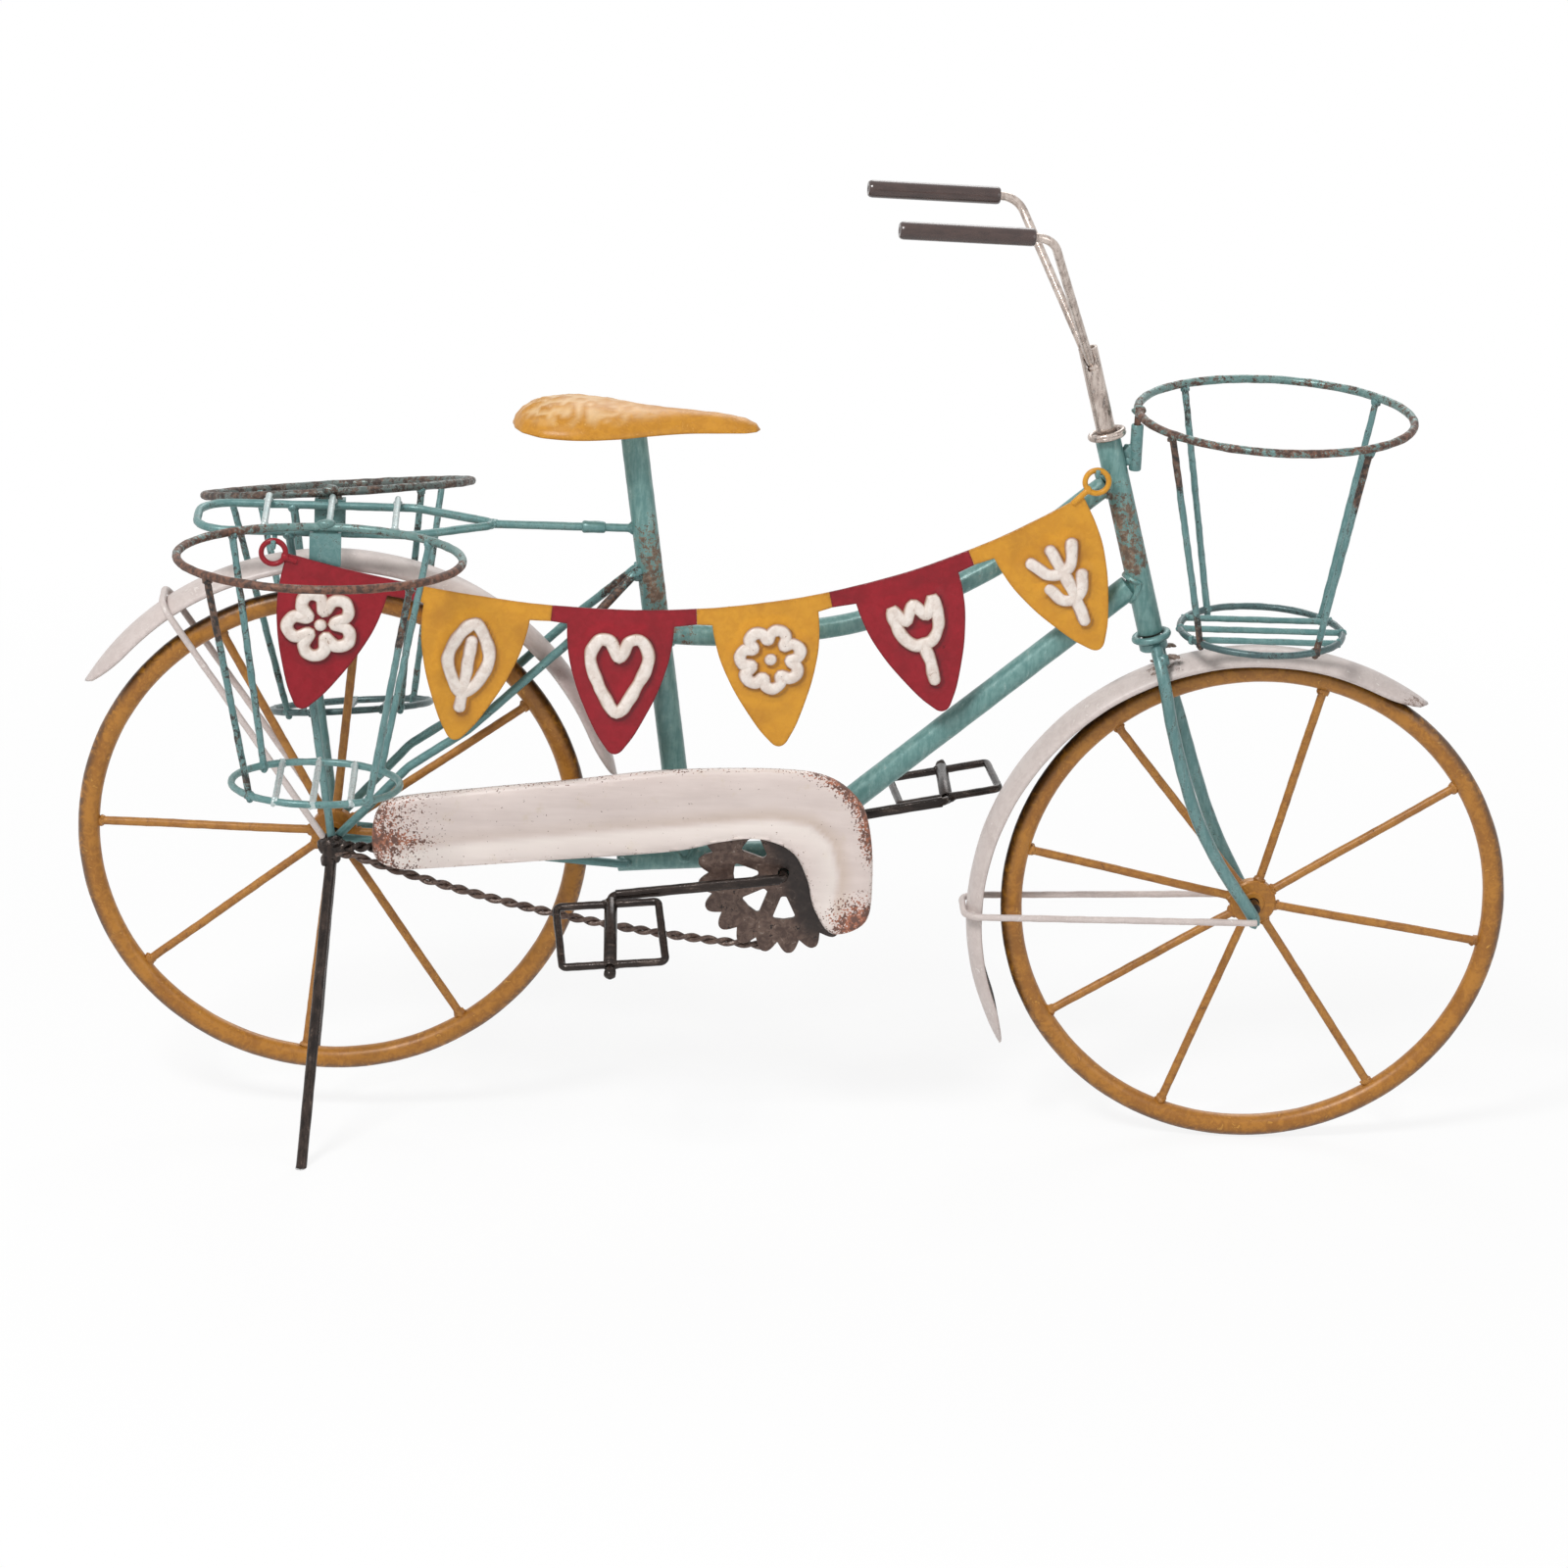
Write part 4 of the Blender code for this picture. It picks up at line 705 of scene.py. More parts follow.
axle = Shape().rod((-169.3, -20.7, 111.0), (-169.3, 20.7, 111.0), AXLE_RADIUS, 18, 0.08)
for centre, radii in (((-169.6, -15.2, 110.9), (4.2, 3.4, 4.0)),
                      ((-168.6, -18.4, 109.6), (3.8, 2.6, 4.2)),
                      ((-166.2, -19.6, 111.4), (3.4, 1.7, 2.6)),
                      ((-170.6, -18.0, 106.6), (2.8, 2.4, 3.4)),
                      ((-169.6, 15.2, 110.9), (4.0, 3.2, 3.8)),
                      ((-169.4, 18.2, 110.0), (3.0, 2.2, 3.2)),
                      ((-172.4, -14.6, 111.4), (2.2, 2.0, 2.2))):
    axle.blob(centre, radii, 0.22, 2.4, 20, 14)
stand_in("rear_axle", axle, iron, "frame")
for name, hand in HANDS:
    leg = Shape().tube(((-169.5, hand * 16.3, 109.0), (-177.64, hand * 55.12, -4.72)), LEG_RADIUS,
                       16, grain=7.0)
    for vert in leg.verts:
        vert.z = max(vert.z, 0.0)
    stand_in("stand_leg_" + name, leg, iron, "frame", sharp=50)
front_axle = Shape().rod((169.3, -9.7, 93.2), (169.3, 9.7, 93.2), AXLE_RADIUS, 18)
stand_in("front_axle", front_axle, iron, "fork")


def twisted(points, wire, pitch, phase=0.0):
    """Two wires wound round each other along the points."""
    line = refine(vectors(points), pitch / 12)
    shape = Shape()
    for start in (0, pi):
        strand = []
        along = 0.0
        for index, point in enumerate(line):
            if index:
                along += (point - line[index - 1]).length
            before, after = line[max(index - 1, 0)], line[min(index + 1, len(line) - 1)]
            side, other = across((after - before).normalized())
            angle = start + phase + tau * along / pitch
            strand.append(point + (side * cos(angle) + other * sin(angle)) * wire)
        shape.tube(strand, wire, 9, flat=0.6)
    return shape


CHAIN_START = Vector((-157.3, -21.2, 107.7))
CHAIN_END = Vector((-11.9, -18.6, 77.6))
CHAIN_WIRE = 0.88
CHAIN_PITCH = 12.4
CHAIN_SAG = 5.0
CHAIN_STEPS = 60
chain_line = [(-167.5, -19.5, 109.0), (-162.0, -20.6, 109.4)]
for k in range(CHAIN_STEPS + 1):
    sag = CHAIN_SAG * 4 * k / CHAIN_STEPS * (1 - k / CHAIN_STEPS)
    chain_line.append(CHAIN_START.lerp(CHAIN_END, k / CHAIN_STEPS) - UP * sag)
stand_in("chain", twisted(chain_line, CHAIN_WIRE, CHAIN_PITCH), ring_iron, "frame")
strip_line = ((-169.0, -20.6, 112.4), (-139.6, -20.9, 112.2))
stand_in("guard_strip", twisted(strip_line, 1.0, 9.0, 1.0), iron, "frame")

# ---------------------------------------------------------------- fenders

FENDER_SHEET = 0.9
FENDER_HALF_WIDTH = 9.5
FENDER_CURL = 4.5
FENDER_TIP = 20.0
FENDER_STAY_WIRE = 1.25


def fender(name, centre, radius, start, stop, body):
    """An arched sheet round the wheel whose tips are drawn in and rounded."""
    steps, columns = 110, 14
    tip = FENDER_TIP / radius
    verts = []
    for step in range(steps + 1):
        angle = radians(start) + radians(stop - start) * step / steps
        near_end = min(angle - radians(start), radians(stop) - angle)
        share = min(near_end / tip, 1)
        draw = 0.16 + 0.84 * sqrt(1 - (1 - share) ** 2)
        way = Vector((cos(angle), 0, sin(angle)))
        for column in range(columns + 1):
            side = 2 * column / columns - 1
            reach = radius - FENDER_CURL * abs(side * draw) ** 2.3
            point = centre + way * reach + LEFT * (FENDER_HALF_WIDTH * draw * side)
            point += way * (0.18 * noise.noise(point / 14.0))
            verts.append(point)
    obj = facing_up(stand_in(name, Shape().add(verts, grid(steps, columns)), cream, body))
    obj.data.materials.append(iron)
    thicken(obj, FENDER_SHEET).modifiers["sheet"].material_offset = 1


fender("rear_fender", Vector((-169.3, 0, 112.9)), 105.3, 12.5, 149.5, "frame")
fender("front_fender", Vector((167.5, 0, 88.1)), 103.7, 54, 211, "fork")
for name, body, (near_x, near_y, near_z), (far_x, far_y, far_z) in (
        ("front_fender_stay", "fork", (169.3, 15.6, 90.2), (62.4, 11.7, 88.1)),
        ("rear_fender_stay", "frame", (-171.5, 14.2, 111.6), (-232.0, 11.7, 199.2))):
    line = rounded(((near_x, -near_y, near_z), (far_x, -far_y, far_z), (far_x, far_y, far_z),
                    (near_x, near_y, near_z)), 6.0)
    stand_in(name, Shape().tube(line, FENDER_STAY_WIRE, lump=0.05), cream, body)

# ---------------------------------------------------------------- fork, stem and handlebar

FORK_BLADE = ((127.16, 3.0, 192.3, 0), (131.03, 12.1, 180.9, 0.354), (137.05, 12.1, 160.59, 0.844),
              (146.08, 12.1, 132.84, 0.951), (155.11, 12.1, 113.02, 0.588), (167.15, 12.1, 93.2, 0),
              (168.87, 12.1, 89.4, 0))
BLADE_SPLAY = 2.5
BLADE_RADIUS = 2.3
LOWER_RING_WIRE = 1.35

fork = Shape().lathe(on_head(-0.8), HEAD_AXIS, [(0.01, -1.6), (4.8, -1.6), (5.2, -1.2), (5.2, 1.2),
                                                (4.8, 1.6), (0.01, 1.6)])
for name, hand in HANDS:
    blade = vectors([(x + hand * BLADE_SPLAY * splay, hand * y, z)
                     for x, y, z, splay in FORK_BLADE])
    fork.tube(flowing(blade, 10), BLADE_RADIUS, 18, grain=6.0, flat=0.7)
    fork.blob((168.9, hand * 13.6, 89.6), (2.3, 1.6, 2.2))
    fork.blob((129.4, hand * 7.4, 187.6), (2.6, 3.4, 2.6), 0.2)
stand_in("fork", fork, teal_upright, "fork")
weld = Shape()
for x, z, size in ((133.0, 189.0, 1.2), (134.8, 188.9, 0.8), (126.4, 187.1, 1.0)):
    for name, hand in HANDS:
        weld.blob((x, hand * 6.6, z), (size * 1.5, size * 1.2, size * 0.7), 0.35, 1.1)
piece("fork_weld", weld, weld_iron, "fork")
lower = Shape().tube(circle(on_head(2.4), HEAD_AXIS, 6.0, 48), LOWER_RING_WIRE, 14, True, 0.07,
                     2.2)
stand_in("lower_ring", lower, teal, "fork")

COIL_TURNS = 1.75
COIL_RADIUS = 6.15
COIL_STEPS = 70
COIL_WIRE = 0.95
side, other = across(HEAD_AXIS)
coil = []
for k in range(COIL_STEPS + 1):
    angle = tau * COIL_TURNS * k / COIL_STEPS - 0.6
    coil.append(on_head(79.75 + COIL_TURNS * k / COIL_STEPS) + side * (COIL_RADIUS * cos(angle))
                + other * (COIL_RADIUS * sin(angle)))
stand_in("upper_ring", Shape().tube(coil, COIL_WIRE, 12), silver, "fork")

BAR_TURN = (Matrix.Translation(CROWN * MM) @ Matrix.Rotation(radians(6.5), 4, HEAD_AXIS)
            @ Matrix.Translation(-CROWN * MM))
BAR_ROOT = Vector((98.59, 0, 293.58))
BAR_HALF_WIDTH = 35
BAR_RADIUS = 1.6
bar_right, bar_left = ([(23.35, hand * BAR_HALF_WIDTH, 351.44),
                        (74.79, hand * BAR_HALF_WIDTH, 349.08)] for name, hand in HANDS)
bar_line = (rounded([*bar_right, BAR_ROOT], 9.0)[:-1]
            + rounded([bar_right[1], BAR_ROOT, bar_left[1]], 2.6)[1:-1]
            + rounded([BAR_ROOT, *reversed(bar_left)], 9.0)[1:])
handlebar = Shape().tube(bar_line, BAR_RADIUS, 16, lump=0.02)
stand_in("handlebar", handlebar, silver, "fork", turn=BAR_TURN)
for name, hand in HANDS:
    start = Vector((68.3, hand * BAR_HALF_WIDTH, 349.38))
    end = Vector((20.35, hand * BAR_HALF_WIDTH, 351.57))
    grip = Shape().lathe(start, (end - start).normalized(), [
        (1.7, 0.0), (2.7, 0.0), (3.1, 0.5), (3.2, 1.4), (3.2, 24.0), (3.2, 46.4), (3.0, 47.4),
        (2.5, 48.0), (1.2, 48.0), (0.9, 46.5), (0.4, 46.4), (0.2, 45.0), (1.7, 44.8)], 30)
    stand_in("grip_" + name, grip, grip_black, "fork", turn=BAR_TURN)
repaint(nodes["stem"], silver)
pinch = Shape()
for name, hand in HANDS:
    pinch.blob(BAR_ROOT + Vector((0.3, hand * 1.9, 1.6)), (2.2, 1.2, 2.6), 0.15)
piece("stem_crimp", pinch, silver, "fork", turn=BAR_TURN)

# ---------------------------------------------------------------- saddle

SADDLE_REAR = Vector((-107.917, 0, 267.75))
SADDLE_LENGTH = 88.5
SADDLE_HALF_WIDTH = 22.0
SADDLE_HEIGHT = 9.5
SADDLE_SHEET = 1.1
ALONG = (0.000, 0.010, 0.040, 0.120, 0.260, 0.420, 0.560, 0.700, 0.840, 0.940, 0.985, 1.000)
WIDE = (0.040, 0.340, 0.620, 0.900, 1.000, 0.860, 0.600, 0.390, 0.310, 0.260, 0.160, 0.030)
TALL = (0.040, 0.260, 0.560, 0.900, 1.000, 0.880, 0.740, 0.680, 0.580, 0.420, 0.220, 0.040)


def read(place, places, values):
    """The value at a place on a smooth line through the listed values."""
    for low in range(len(places) - 1):
        if place <= places[low + 1] + 1e-9:
            part = (place - places[low]) / (places[low + 1] - places[low])
            p0, p1 = values[max(low - 1, 0)], values[low]
            p2, p3 = values[low + 1], values[min(low + 2, len(values) - 1)]
            return (2 * p1 + (p2 - p0) * part + (2 * p0 - 5 * p1 + 4 * p2 - p3) * part ** 2
                    + (3 * p1 - p0 - 3 * p2 + p3) * part ** 3) / 2
    return values[-1]


def beaten(place):
    """The hammer marks on the saddle: low at the middle of a mark, high between two."""
    return abs(noise.noise(Vector((place.x / 4.5, place.y / 4.5, 3.7))))


def saddle_shine(place):
    """Painted highlights on the high places between the marks, over the saddle's rear half, where
    the paint is also worn pale.
    """
    share = (place.x - SADDLE_REAR.x) / SADDLE_LENGTH
    high = clamped((place.z - SADDLE_REAR.z - 3.5) / 3.0)
    return (0.7 * high * max(1 - share / 0.62, 0) ** 0.5
            * clamped((0.34 - beaten(place)) / 0.22))


verts = []
rows, columns = 64, 26
for row in range(rows + 1):
    share = (1 - cos(pi * row / rows)) / 2
    half = SADDLE_HALF_WIDTH * read(share, ALONG, WIDE)
    crown = SADDLE_HEIGHT * read(share, ALONG, TALL)
    for column in range(columns + 1):
        angle = pi * column / columns
        point = SADDLE_REAR + Vector((SADDLE_LENGTH * share, half * -cos(angle),
                                      crown * max(sin(angle), 0) ** 1.1))
        struck = (0.3 + 1.6 * max(1 - share / 0.5, 0)) * min(sin(angle) * 2, 1)
        point.z += struck * min(share * 12, 1) * (beaten(point) - 0.3)
        verts.append(point)
saddle = stand_in("saddle", Shape().add(verts, grid(rows, columns)), ochre, "frame")
thicken(facing_up(mark(saddle, saddle_shine)), SADDLE_SHEET)

# ---------------------------------------------------------------- chain guard

GUARD_LOW = Vector((-154.8, 0, 83.4))
GUARD_LENGTH = 182.0
GUARD_HEIGHT = 64.0
GUARD_SHEET = 0.8
GUARD_SLICE = 1.6
GUARD_SHAPE = ((0.00, 0.52), (0.01, 0.69), (0.05, 0.77), (0.22, 0.84), (0.39, 0.90), (0.58, 0.975),
               (0.79, 1.00), (0.90, 0.965), (0.965, 0.83), (0.99, 0.65), (1.00, 0.36), (0.99, 0.10),
               (0.925, 0.02), (0.885, 0.17), (0.868, 0.35), (0.835, 0.51), (0.770, 0.58),
               (0.690, 0.555), (0.590, 0.49), (0.320, 0.41), (0.110, 0.35), (0.050, 0.345),
               (0.010, 0.40))
# The rolled edge: how far in from the outline, and how far out on the drive side.
GUARD_ROLL = ((0.0, 22.5), (0.1, 24.2), (0.6, 25.3), (1.5, 26.0), (2.8, 26.35), (4.2, 26.4))
CREASE = ((-150, 112), (-120, 117), (-80, 121.5), (-40, 126), (-10, 129), (4, 127), (12, 120),
          (15, 108), (14, 96))


def inset(outline, distance):
    out = []
    count = len(outline)
    for index in range(count):
        before = (outline[index] - outline[index - 1]).normalized()
        after = (outline[(index + 1) % count] - outline[index]).normalized()
        bisector = (before + after).normalized()
        inward = Vector((bisector.z, 0, -bisector.x))
        out.append(outline[index] + inward * (distance / max(before.dot(bisector), 0.5)))
    return out


def slice_mesh(bm, axis, low, high, step):
    """Cuts every face along evenly spaced planes, so that the sheet can be bent."""
    place = low + step / 2
    while place < high:
        point = Vector((0, 0, 0))
        point[axis] = place
        way = Vector((0, 0, 0))
        way[axis] = 1
        geometry = bm.verts[:] + bm.edges[:] + bm.faces[:]
        bmesh.ops.bisect_plane(bm, geom=geometry, dist=1e-4, plane_co=point, plane_no=way)
        place += step


def laid_along(lines, step=0.25):
    """A search tree of points laid closely along lines of (x, z) points."""
    places = []
    for line in lines:
        for (ax, az), (bx, bz) in zip(line, line[1:]):
            count = max(ceil(sqrt((bx - ax) ** 2 + (bz - az) ** 2) / step), 1)
            places += [(ax + (bx - ax) * k / count, 0, az + (bz - az) * k / count)
                       for k in range(count + 1)]
    tree = KDTree(len(places))
    for index, place in enumerate(places):
        tree.insert(place, index)
    tree.balance()
    return tree


def distance_to(tree, x, z):
    """The distance from a place in the sheet to the nearest of the tree's lines."""
    return tree.find((x, 0, z))[2]


def beside(x, z, line):
    """The distance from a place to a line of (x, z) points, positive to the line's right."""
    best, side = 1e9, 1
    for (ax, az), (bx, bz) in zip(line, line[1:]):
        dx, dz = bx - ax, bz - az
        t = clamped(((x - ax) * dx + (z - az) * dz) / (dx * dx + dz * dz))
        reach = (x - ax - dx * t) ** 2 + (z - az - dz * t) ** 2
        if reach < best:
            best, side = reach, 1 if dx * (z - az) - dz * (x - ax) < 0 else -1
    return side * sqrt(best)


guard_outline = flowing([GUARD_LOW + Vector((GUARD_LENGTH * a, 0, GUARD_HEIGHT * u))
                         for a, u in GUARD_SHAPE], 7, True)
guard_rim = laid_along([[(p.x, p.z) for p in guard_outline]])
size = len(guard_outline)
bm = bmesh.new()
for distance, depth in GUARD_ROLL:
    for point in inset(guard_outline, distance):
        bm.verts.new(point - LEFT * depth)
bm.verts.ensure_lookup_table()
for level in range(len(GUARD_ROLL) - 1):
    for corners in hoop(level * size, (level + 1) * size, size):
        bm.faces.new([bm.verts[corner] for corner in corners])
inner = bm.verts[-size:]
edges = [bm.edges.get((inner[k], inner[(k + 1) % size])) for k in range(size)]
bmesh.ops.triangle_fill(bm, edges=edges, use_beauty=True)
slice_mesh(bm, 0, -156, 30, GUARD_SLICE)
slice_mesh(bm, 2, 82, 150, GUARD_SLICE)
for vert in bm.verts:
    x, z = vert.co.x, vert.co.z
    if vert.co.y < -25.9:
        ridge = abs(beside(x, z, CREASE))
        fade = clamped((x + 152) / 18) * clamped((z - 88) / 12)
        vert.co.y += 1.8 * fade * max(1 - ridge / 12.0, 0)
        vert.co.y += 0.35 * noise.noise(Vector((x / 16, 0, z / 12)))


def guard_rust(place):
    """Rust at the rear end, along the top edge in front and at the front tip."""
    x, z = place.x, place.z
    edge = distance_to(guard_rim, x, z)
    rear = max(1 - (x + 155) / 30, 0) * (0.72 + 0.45 * max(1 - abs(z - 117) / 5, 0))
    front = clamped((x + 12) / 26) * max(1 - edge / (3.5 + max(x, 0) * 0.22), 0)
    front *= clamped((z - 108) / 12)
    tip = max(1 - sqrt((x - 23) ** 2 + (z - 88) ** 2) / 17, 0) * 1.25
    streak = 0.85 * max(1 - abs(z - 117 + (x + 155) * 0.04) / 2.4, 0) * clamped((-124 - x) / 16)
    low = 0.35 * max(1 - edge / 2.0, 0)
    return min(max(rear, front, tip, low, streak), 1)


def guard_light(place):
    """Painted light: a band along the crease's lower side, and a painted highlight on the
    rolled edge.
    """
    below = beside(place.x, place.z, CREASE)
    band = clamped(below / 2.0) * max(1 - max(below - 2.5, 0) / 9.0, 0)
    edge = max(1 - distance_to(guard_rim, place.x, place.z) / 1.2, 0)
    return min(max(band, 0.8 * edge), 1)


def guard_crease_shade(place):
    """Painted shade in the crease, strongest round the bend."""
    below = beside(place.x, place.z, CREASE) + 0.8
    stain = max(1 - (below / 1.3 if below > 0 else -below / 5.0), 0)
    return stain * clamped((place.x + 150) / 140, 0.4)


sheet("chain_guard_visual", bm, guard_cream, "frame", ("chain_guard",), -LEFT, GUARD_SHEET, 50,
      mark=guard_rust, lit=guard_light, crease=guard_crease_shade)

# ---------------------------------------------------------------- chainring, crank and pedals

TEETH = 21
TOOTH_FOOT = 26.9
TOOTH_HEIGHT = 4.3
RING_SHEET = 1.5
RING_FACE = 22.1
RING_REACH = 34
RING_SLICE = 3.0


def loop_edges(bm, points):
    made = [bm.verts.new(p) for p in points]
    return [bm.edges.new((made[k], made[(k + 1) % len(made)])) for k in range(len(made))]


def on_ring(reach, angle):
    return Vector((BRACKET.x + reach * cos(angle), 0, BRACKET.z + reach * sin(angle)))


bm = bmesh.new()
outline = []
for k in range(TEETH * 12):
    up = 1 - abs(2 * (k / 12 % 1) - 1)
    outline.append(on_ring(TOOTH_FOOT + TOOTH_HEIGHT * sin(min(up * 1.08, 1) * pi / 2) ** 1.15,
                           tau * k / (TEETH * 12) - radians(6.8)))
edges = loop_edges(bm, outline)
for window in range(3, 7):
    middle = tau * window / 8 + radians(3)
    corners = [on_ring(reach, middle + span * half_angle) for reach, half_angle, spans in (
        (9.2, radians(5.8), (-1, 1)), (18.1, radians(14.1), (1, 0, -1))) for span in spans]
    edges += loop_edges(bm, rounded(corners, 0.9, 4, closed=True))
edges += loop_edges(bm, circle(BRACKET, LEFT, 2.1, 20))
bmesh.ops.triangle_fill(bm, edges=edges, use_beauty=True)
for axis, middle in ((0, BRACKET.x), (2, BRACKET.z)):
    slice_mesh(bm, axis, middle - RING_REACH, middle + RING_REACH, RING_SLICE)
for vert in bm.verts:
    dish = 0.25 * noise.noise(vert.co / 9.0)
    dish += 0.5 * max(1 - (vert.co - BRACKET).length / 12.0, 0)
    vert.co.y = -(RING_FACE + dish)


def ring_shade(place):
    """Painted shadow of the guard: the ring is dark within about ten millimetres of the guard's
    edge, from just behind the crank's middle forward, fading out over its lowest teeth.
    """
    beside_guard = clamped((10.5 - distance_to(guard_rim, place.x, place.z)) / 5.0)
    ahead = clamped((place.x - BRACKET.x + 9) / 8)
    return 0.85 * beside_guard * ahead * clamped((place.z - BRACKET.z + 29) / 7)


chainring = sheet("chainring_visual", bm, ring_iron, "frame", ("chainring",), -LEFT, RING_SHEET,
                  mark=ring_shade)
soften(chainring, 0.35, 2, 60)

DROOP = radians(24)
RIGHT_HUB = Vector((-5.3, -28.6, 107.2))
LEFT_HUB = Vector((-5.3, 26.0, 107.2))
RIGHT_ROOT = Vector((-67.76, -28.6, 98.98))
LEFT_ROOT = Vector((56.44, 26.0, 119.76))
RIGHT_WAY = Vector((0, -cos(DROOP), -sin(DROOP)))
CRANK_WIRE = 1.5
PEDAL_AXLE = 40
PEDAL_GAP = 2.8
PEDAL_LENGTH = 34.2
PEDAL_HALF_WIDTH = 18.6
PEDAL_LEAN = 1.4
PEDAL_WIRE = 1.45
crank_line = rounded([RIGHT_ROOT + RIGHT_WAY * PEDAL_AXLE, RIGHT_ROOT, RIGHT_HUB, LEFT_HUB,
                      LEFT_ROOT, LEFT_ROOT + LEFT * PEDAL_AXLE], 2.2)
crank = Shape().tube(crank_line, CRANK_WIRE, 16)
for root, hub in ((RIGHT_ROOT, RIGHT_HUB), (LEFT_ROOT, LEFT_HUB)):
    for rise in (-0.6, 0.6):
        crank.tube((root.lerp(hub, 0.03) + UP * rise, root.lerp(hub, 0.97) + UP * rise), 1.4,
                   lump=0.05)
for centre in (crank_line[0], crank_line[-1]):
    crank.blob(centre, (2.3, 2.3, 2.3), 0.1)
stand_in("crank", crank, iron_bar, "crank")


def pedal(name, root, hub, way):
    """A wire frame, a little out of square, on a short tube that turns on the crank's end."""
    arm = root - hub
    length_way = (arm - way * arm.dot(way)).normalized()
    start = root + way * PEDAL_GAP
    end = start + way * PEDAL_LENGTH
    length = (end - start).length
    tube = Shape().lathe(start, way, [(1.85, 0.1), (2.1, 0), (2.4, 0.4), (2.4, length - 0.4),
                                      (2.1, length), (1.85, length - 0.1)], 24)
    corners = [start + way * step + length_way * (offset * PEDAL_HALF_WIDTH + lean * PEDAL_LEAN)
               for offset, step, lean in ((-1, 1.6, 1), (1, 1.6, 1), (1, 32.6, -1), (-1, 32.6, -1))]
    tube.tube(rounded(corners, 2.0, closed=True), PEDAL_WIRE, 14, True, 0.04, 3.0)
    for a, b in ((0, 1), (2, 3)):
        tube.blob(corners[a].lerp(corners[b], 0.5), (2.5, 1.6, 1.8), 0.15)
    stand_in(name, tube, iron_bar, name)


pedal("pedal_right", RIGHT_ROOT, RIGHT_HUB, RIGHT_WAY)
pedal("pedal_left", LEFT_ROOT, LEFT_HUB, LEFT)

# ---------------------------------------------------------------- pot holders

HOLDER_RADIUS = 49.6
BASE_RADIUS = 29.5
HOLDER_DEPTH = 81.0
HOLDER_WIRE = 1.5
BASE_WIRE = 1.3
UPRIGHT_WIRE = 1.25
BAR_WIRE = 1.2


def holder(body, hang, outward, tilt, swing, start, bar_paint, ring_paint, rust):
    """A rim that hangs on one side, with four uprights down to a smaller ring with three bars."""
    turn = (Matrix.Rotation(radians(swing), 3, outward)
            @ Matrix.Rotation(radians(tilt), 3, outward.cross(UP)))
    away = turn @ outward
    normal = turn @ UP
    across_way = away.cross(normal)
    centre = hang + away * HOLDER_RADIUS
    base = centre - normal * HOLDER_DEPTH

    def at(middle, radius, angle):
        return middle + away * (radius * cos(angle)) + across_way * (radius * sin(angle))

    rim = Shape().tube([at(centre, HOLDER_RADIUS, tau * k / 90) for k in range(90)], HOLDER_WIRE,
                       14, True, 0.06, 5.0)
    cage = Shape().tube([at(base, BASE_RADIUS, tau * k / 60) for k in range(60)], BASE_WIRE, 12,
                        True, 0.06)
    uprights = Shape()
    bars = Shape()
    for quarter in range(4):
        angle = tau * (quarter + 0.5) / 4 + radians(start)
        foot = at(base, BASE_RADIUS, angle)
        head = at(centre, HOLDER_RADIUS, angle)
        way = (head - foot).normalized()
        uprights.tube((foot - way * 1.6, head - way * 1.2), UPRIGHT_WIRE, 12, lump=0.08,
                      grain=3.0, flat=0.9)
        uprights.blob(head - way * 1.7, (1.7, 1.7, 1.7), 0.25, 1.2)
        uprights.blob(foot, (1.8, 1.8, 1.8), 0.25, 1.2)
    for offset in (-13.0, 0.0, 13.0):
        half = sqrt(BASE_RADIUS ** 2 - offset ** 2)
        middle = base + across_way * offset
        bars.tube((middle - away * half, middle + away * half), BAR_WIRE, 12, lump=0.06, flat=0.9)
        for reach in (-half, half):
            bars.blob(middle + away * reach, (1.6, 1.6, 1.6), 0.25, 1.2)
    mark(piece(body + "_uprights", uprights, teal_upright, body), rust)
    piece(body + "_bars", bars, bar_paint, body)
    piece(body + "_base_ring", cage, ring_paint, body, body + "_cage")
    return rim


def rear_rust(place):
    """The two rear holders: browner behind, and all along the rims' drive sides."""
    behind = clamped((-182 - place.x) / 20)
    drive_side = clamped((-66 - place.y) / 22) if place.z > 215 else 0
    return max(0.40 * behind, 0.70 * drive_side, 0.28 if place.y > 0 else 0.05)


def front_rust(place):
    """The front holder: brown where its drive side meets the rim, and near the base."""
    near = 1 if place.y < 0 else 0.25
    top = 0.8 * clamped((place.z - 252) / 8) if place.z < 276 else 0.35
    base = 0.7 * clamped((212 - place.z) / 12)
    return near * max(top, base) + 0.05


TONGUE = ((-4.1, -0.8), (4.1, -0.8), (4.1, 0.8), (-4.1, 0.8))
TONGUE_LENGTH = 12.2
for name, hand, tilt, swing, rise, bar_paint, ring_paint, rim_paint in (
        ("right", -1, 4.4, 0, 232.9, teal_highlit, teal, teal_rusty),
        ("left", 1, -14.5, -5, 233.39, teal_dark, teal_dark, teal_worn)):
    hang = Vector((-173.3, hand * 21.1, rise))
    rim = holder("holder_" + name, hang, LEFT * hand, tilt, swing, 4, bar_paint, ring_paint,
                 rear_rust)
    rim.blob(hang + UP, (3.4, 2.2, 1.9), 0.12, 2.0, 20, 12)
    rim.rings([[Vector((hang.x + x, hang.y + y, z)) for x, y in TONGUE]
               for z in (hang.z - TONGUE_LENGTH, hang.z)])
    mark(stand_in("holder_%s_rim" % name, rim, rim_paint, "holder_" + name), rear_rust)
    sleeve = nodes["holder_sleeve_" + name]
    repaint(sleeve, teal)
    soften(sleeve, 0.5, 3)
FRONT_HANG = Vector((115.88, 0, 278.8))
rim = holder("holder_front", FRONT_HANG, AHEAD, 0, 0, 9, teal, teal_dark, front_rust)
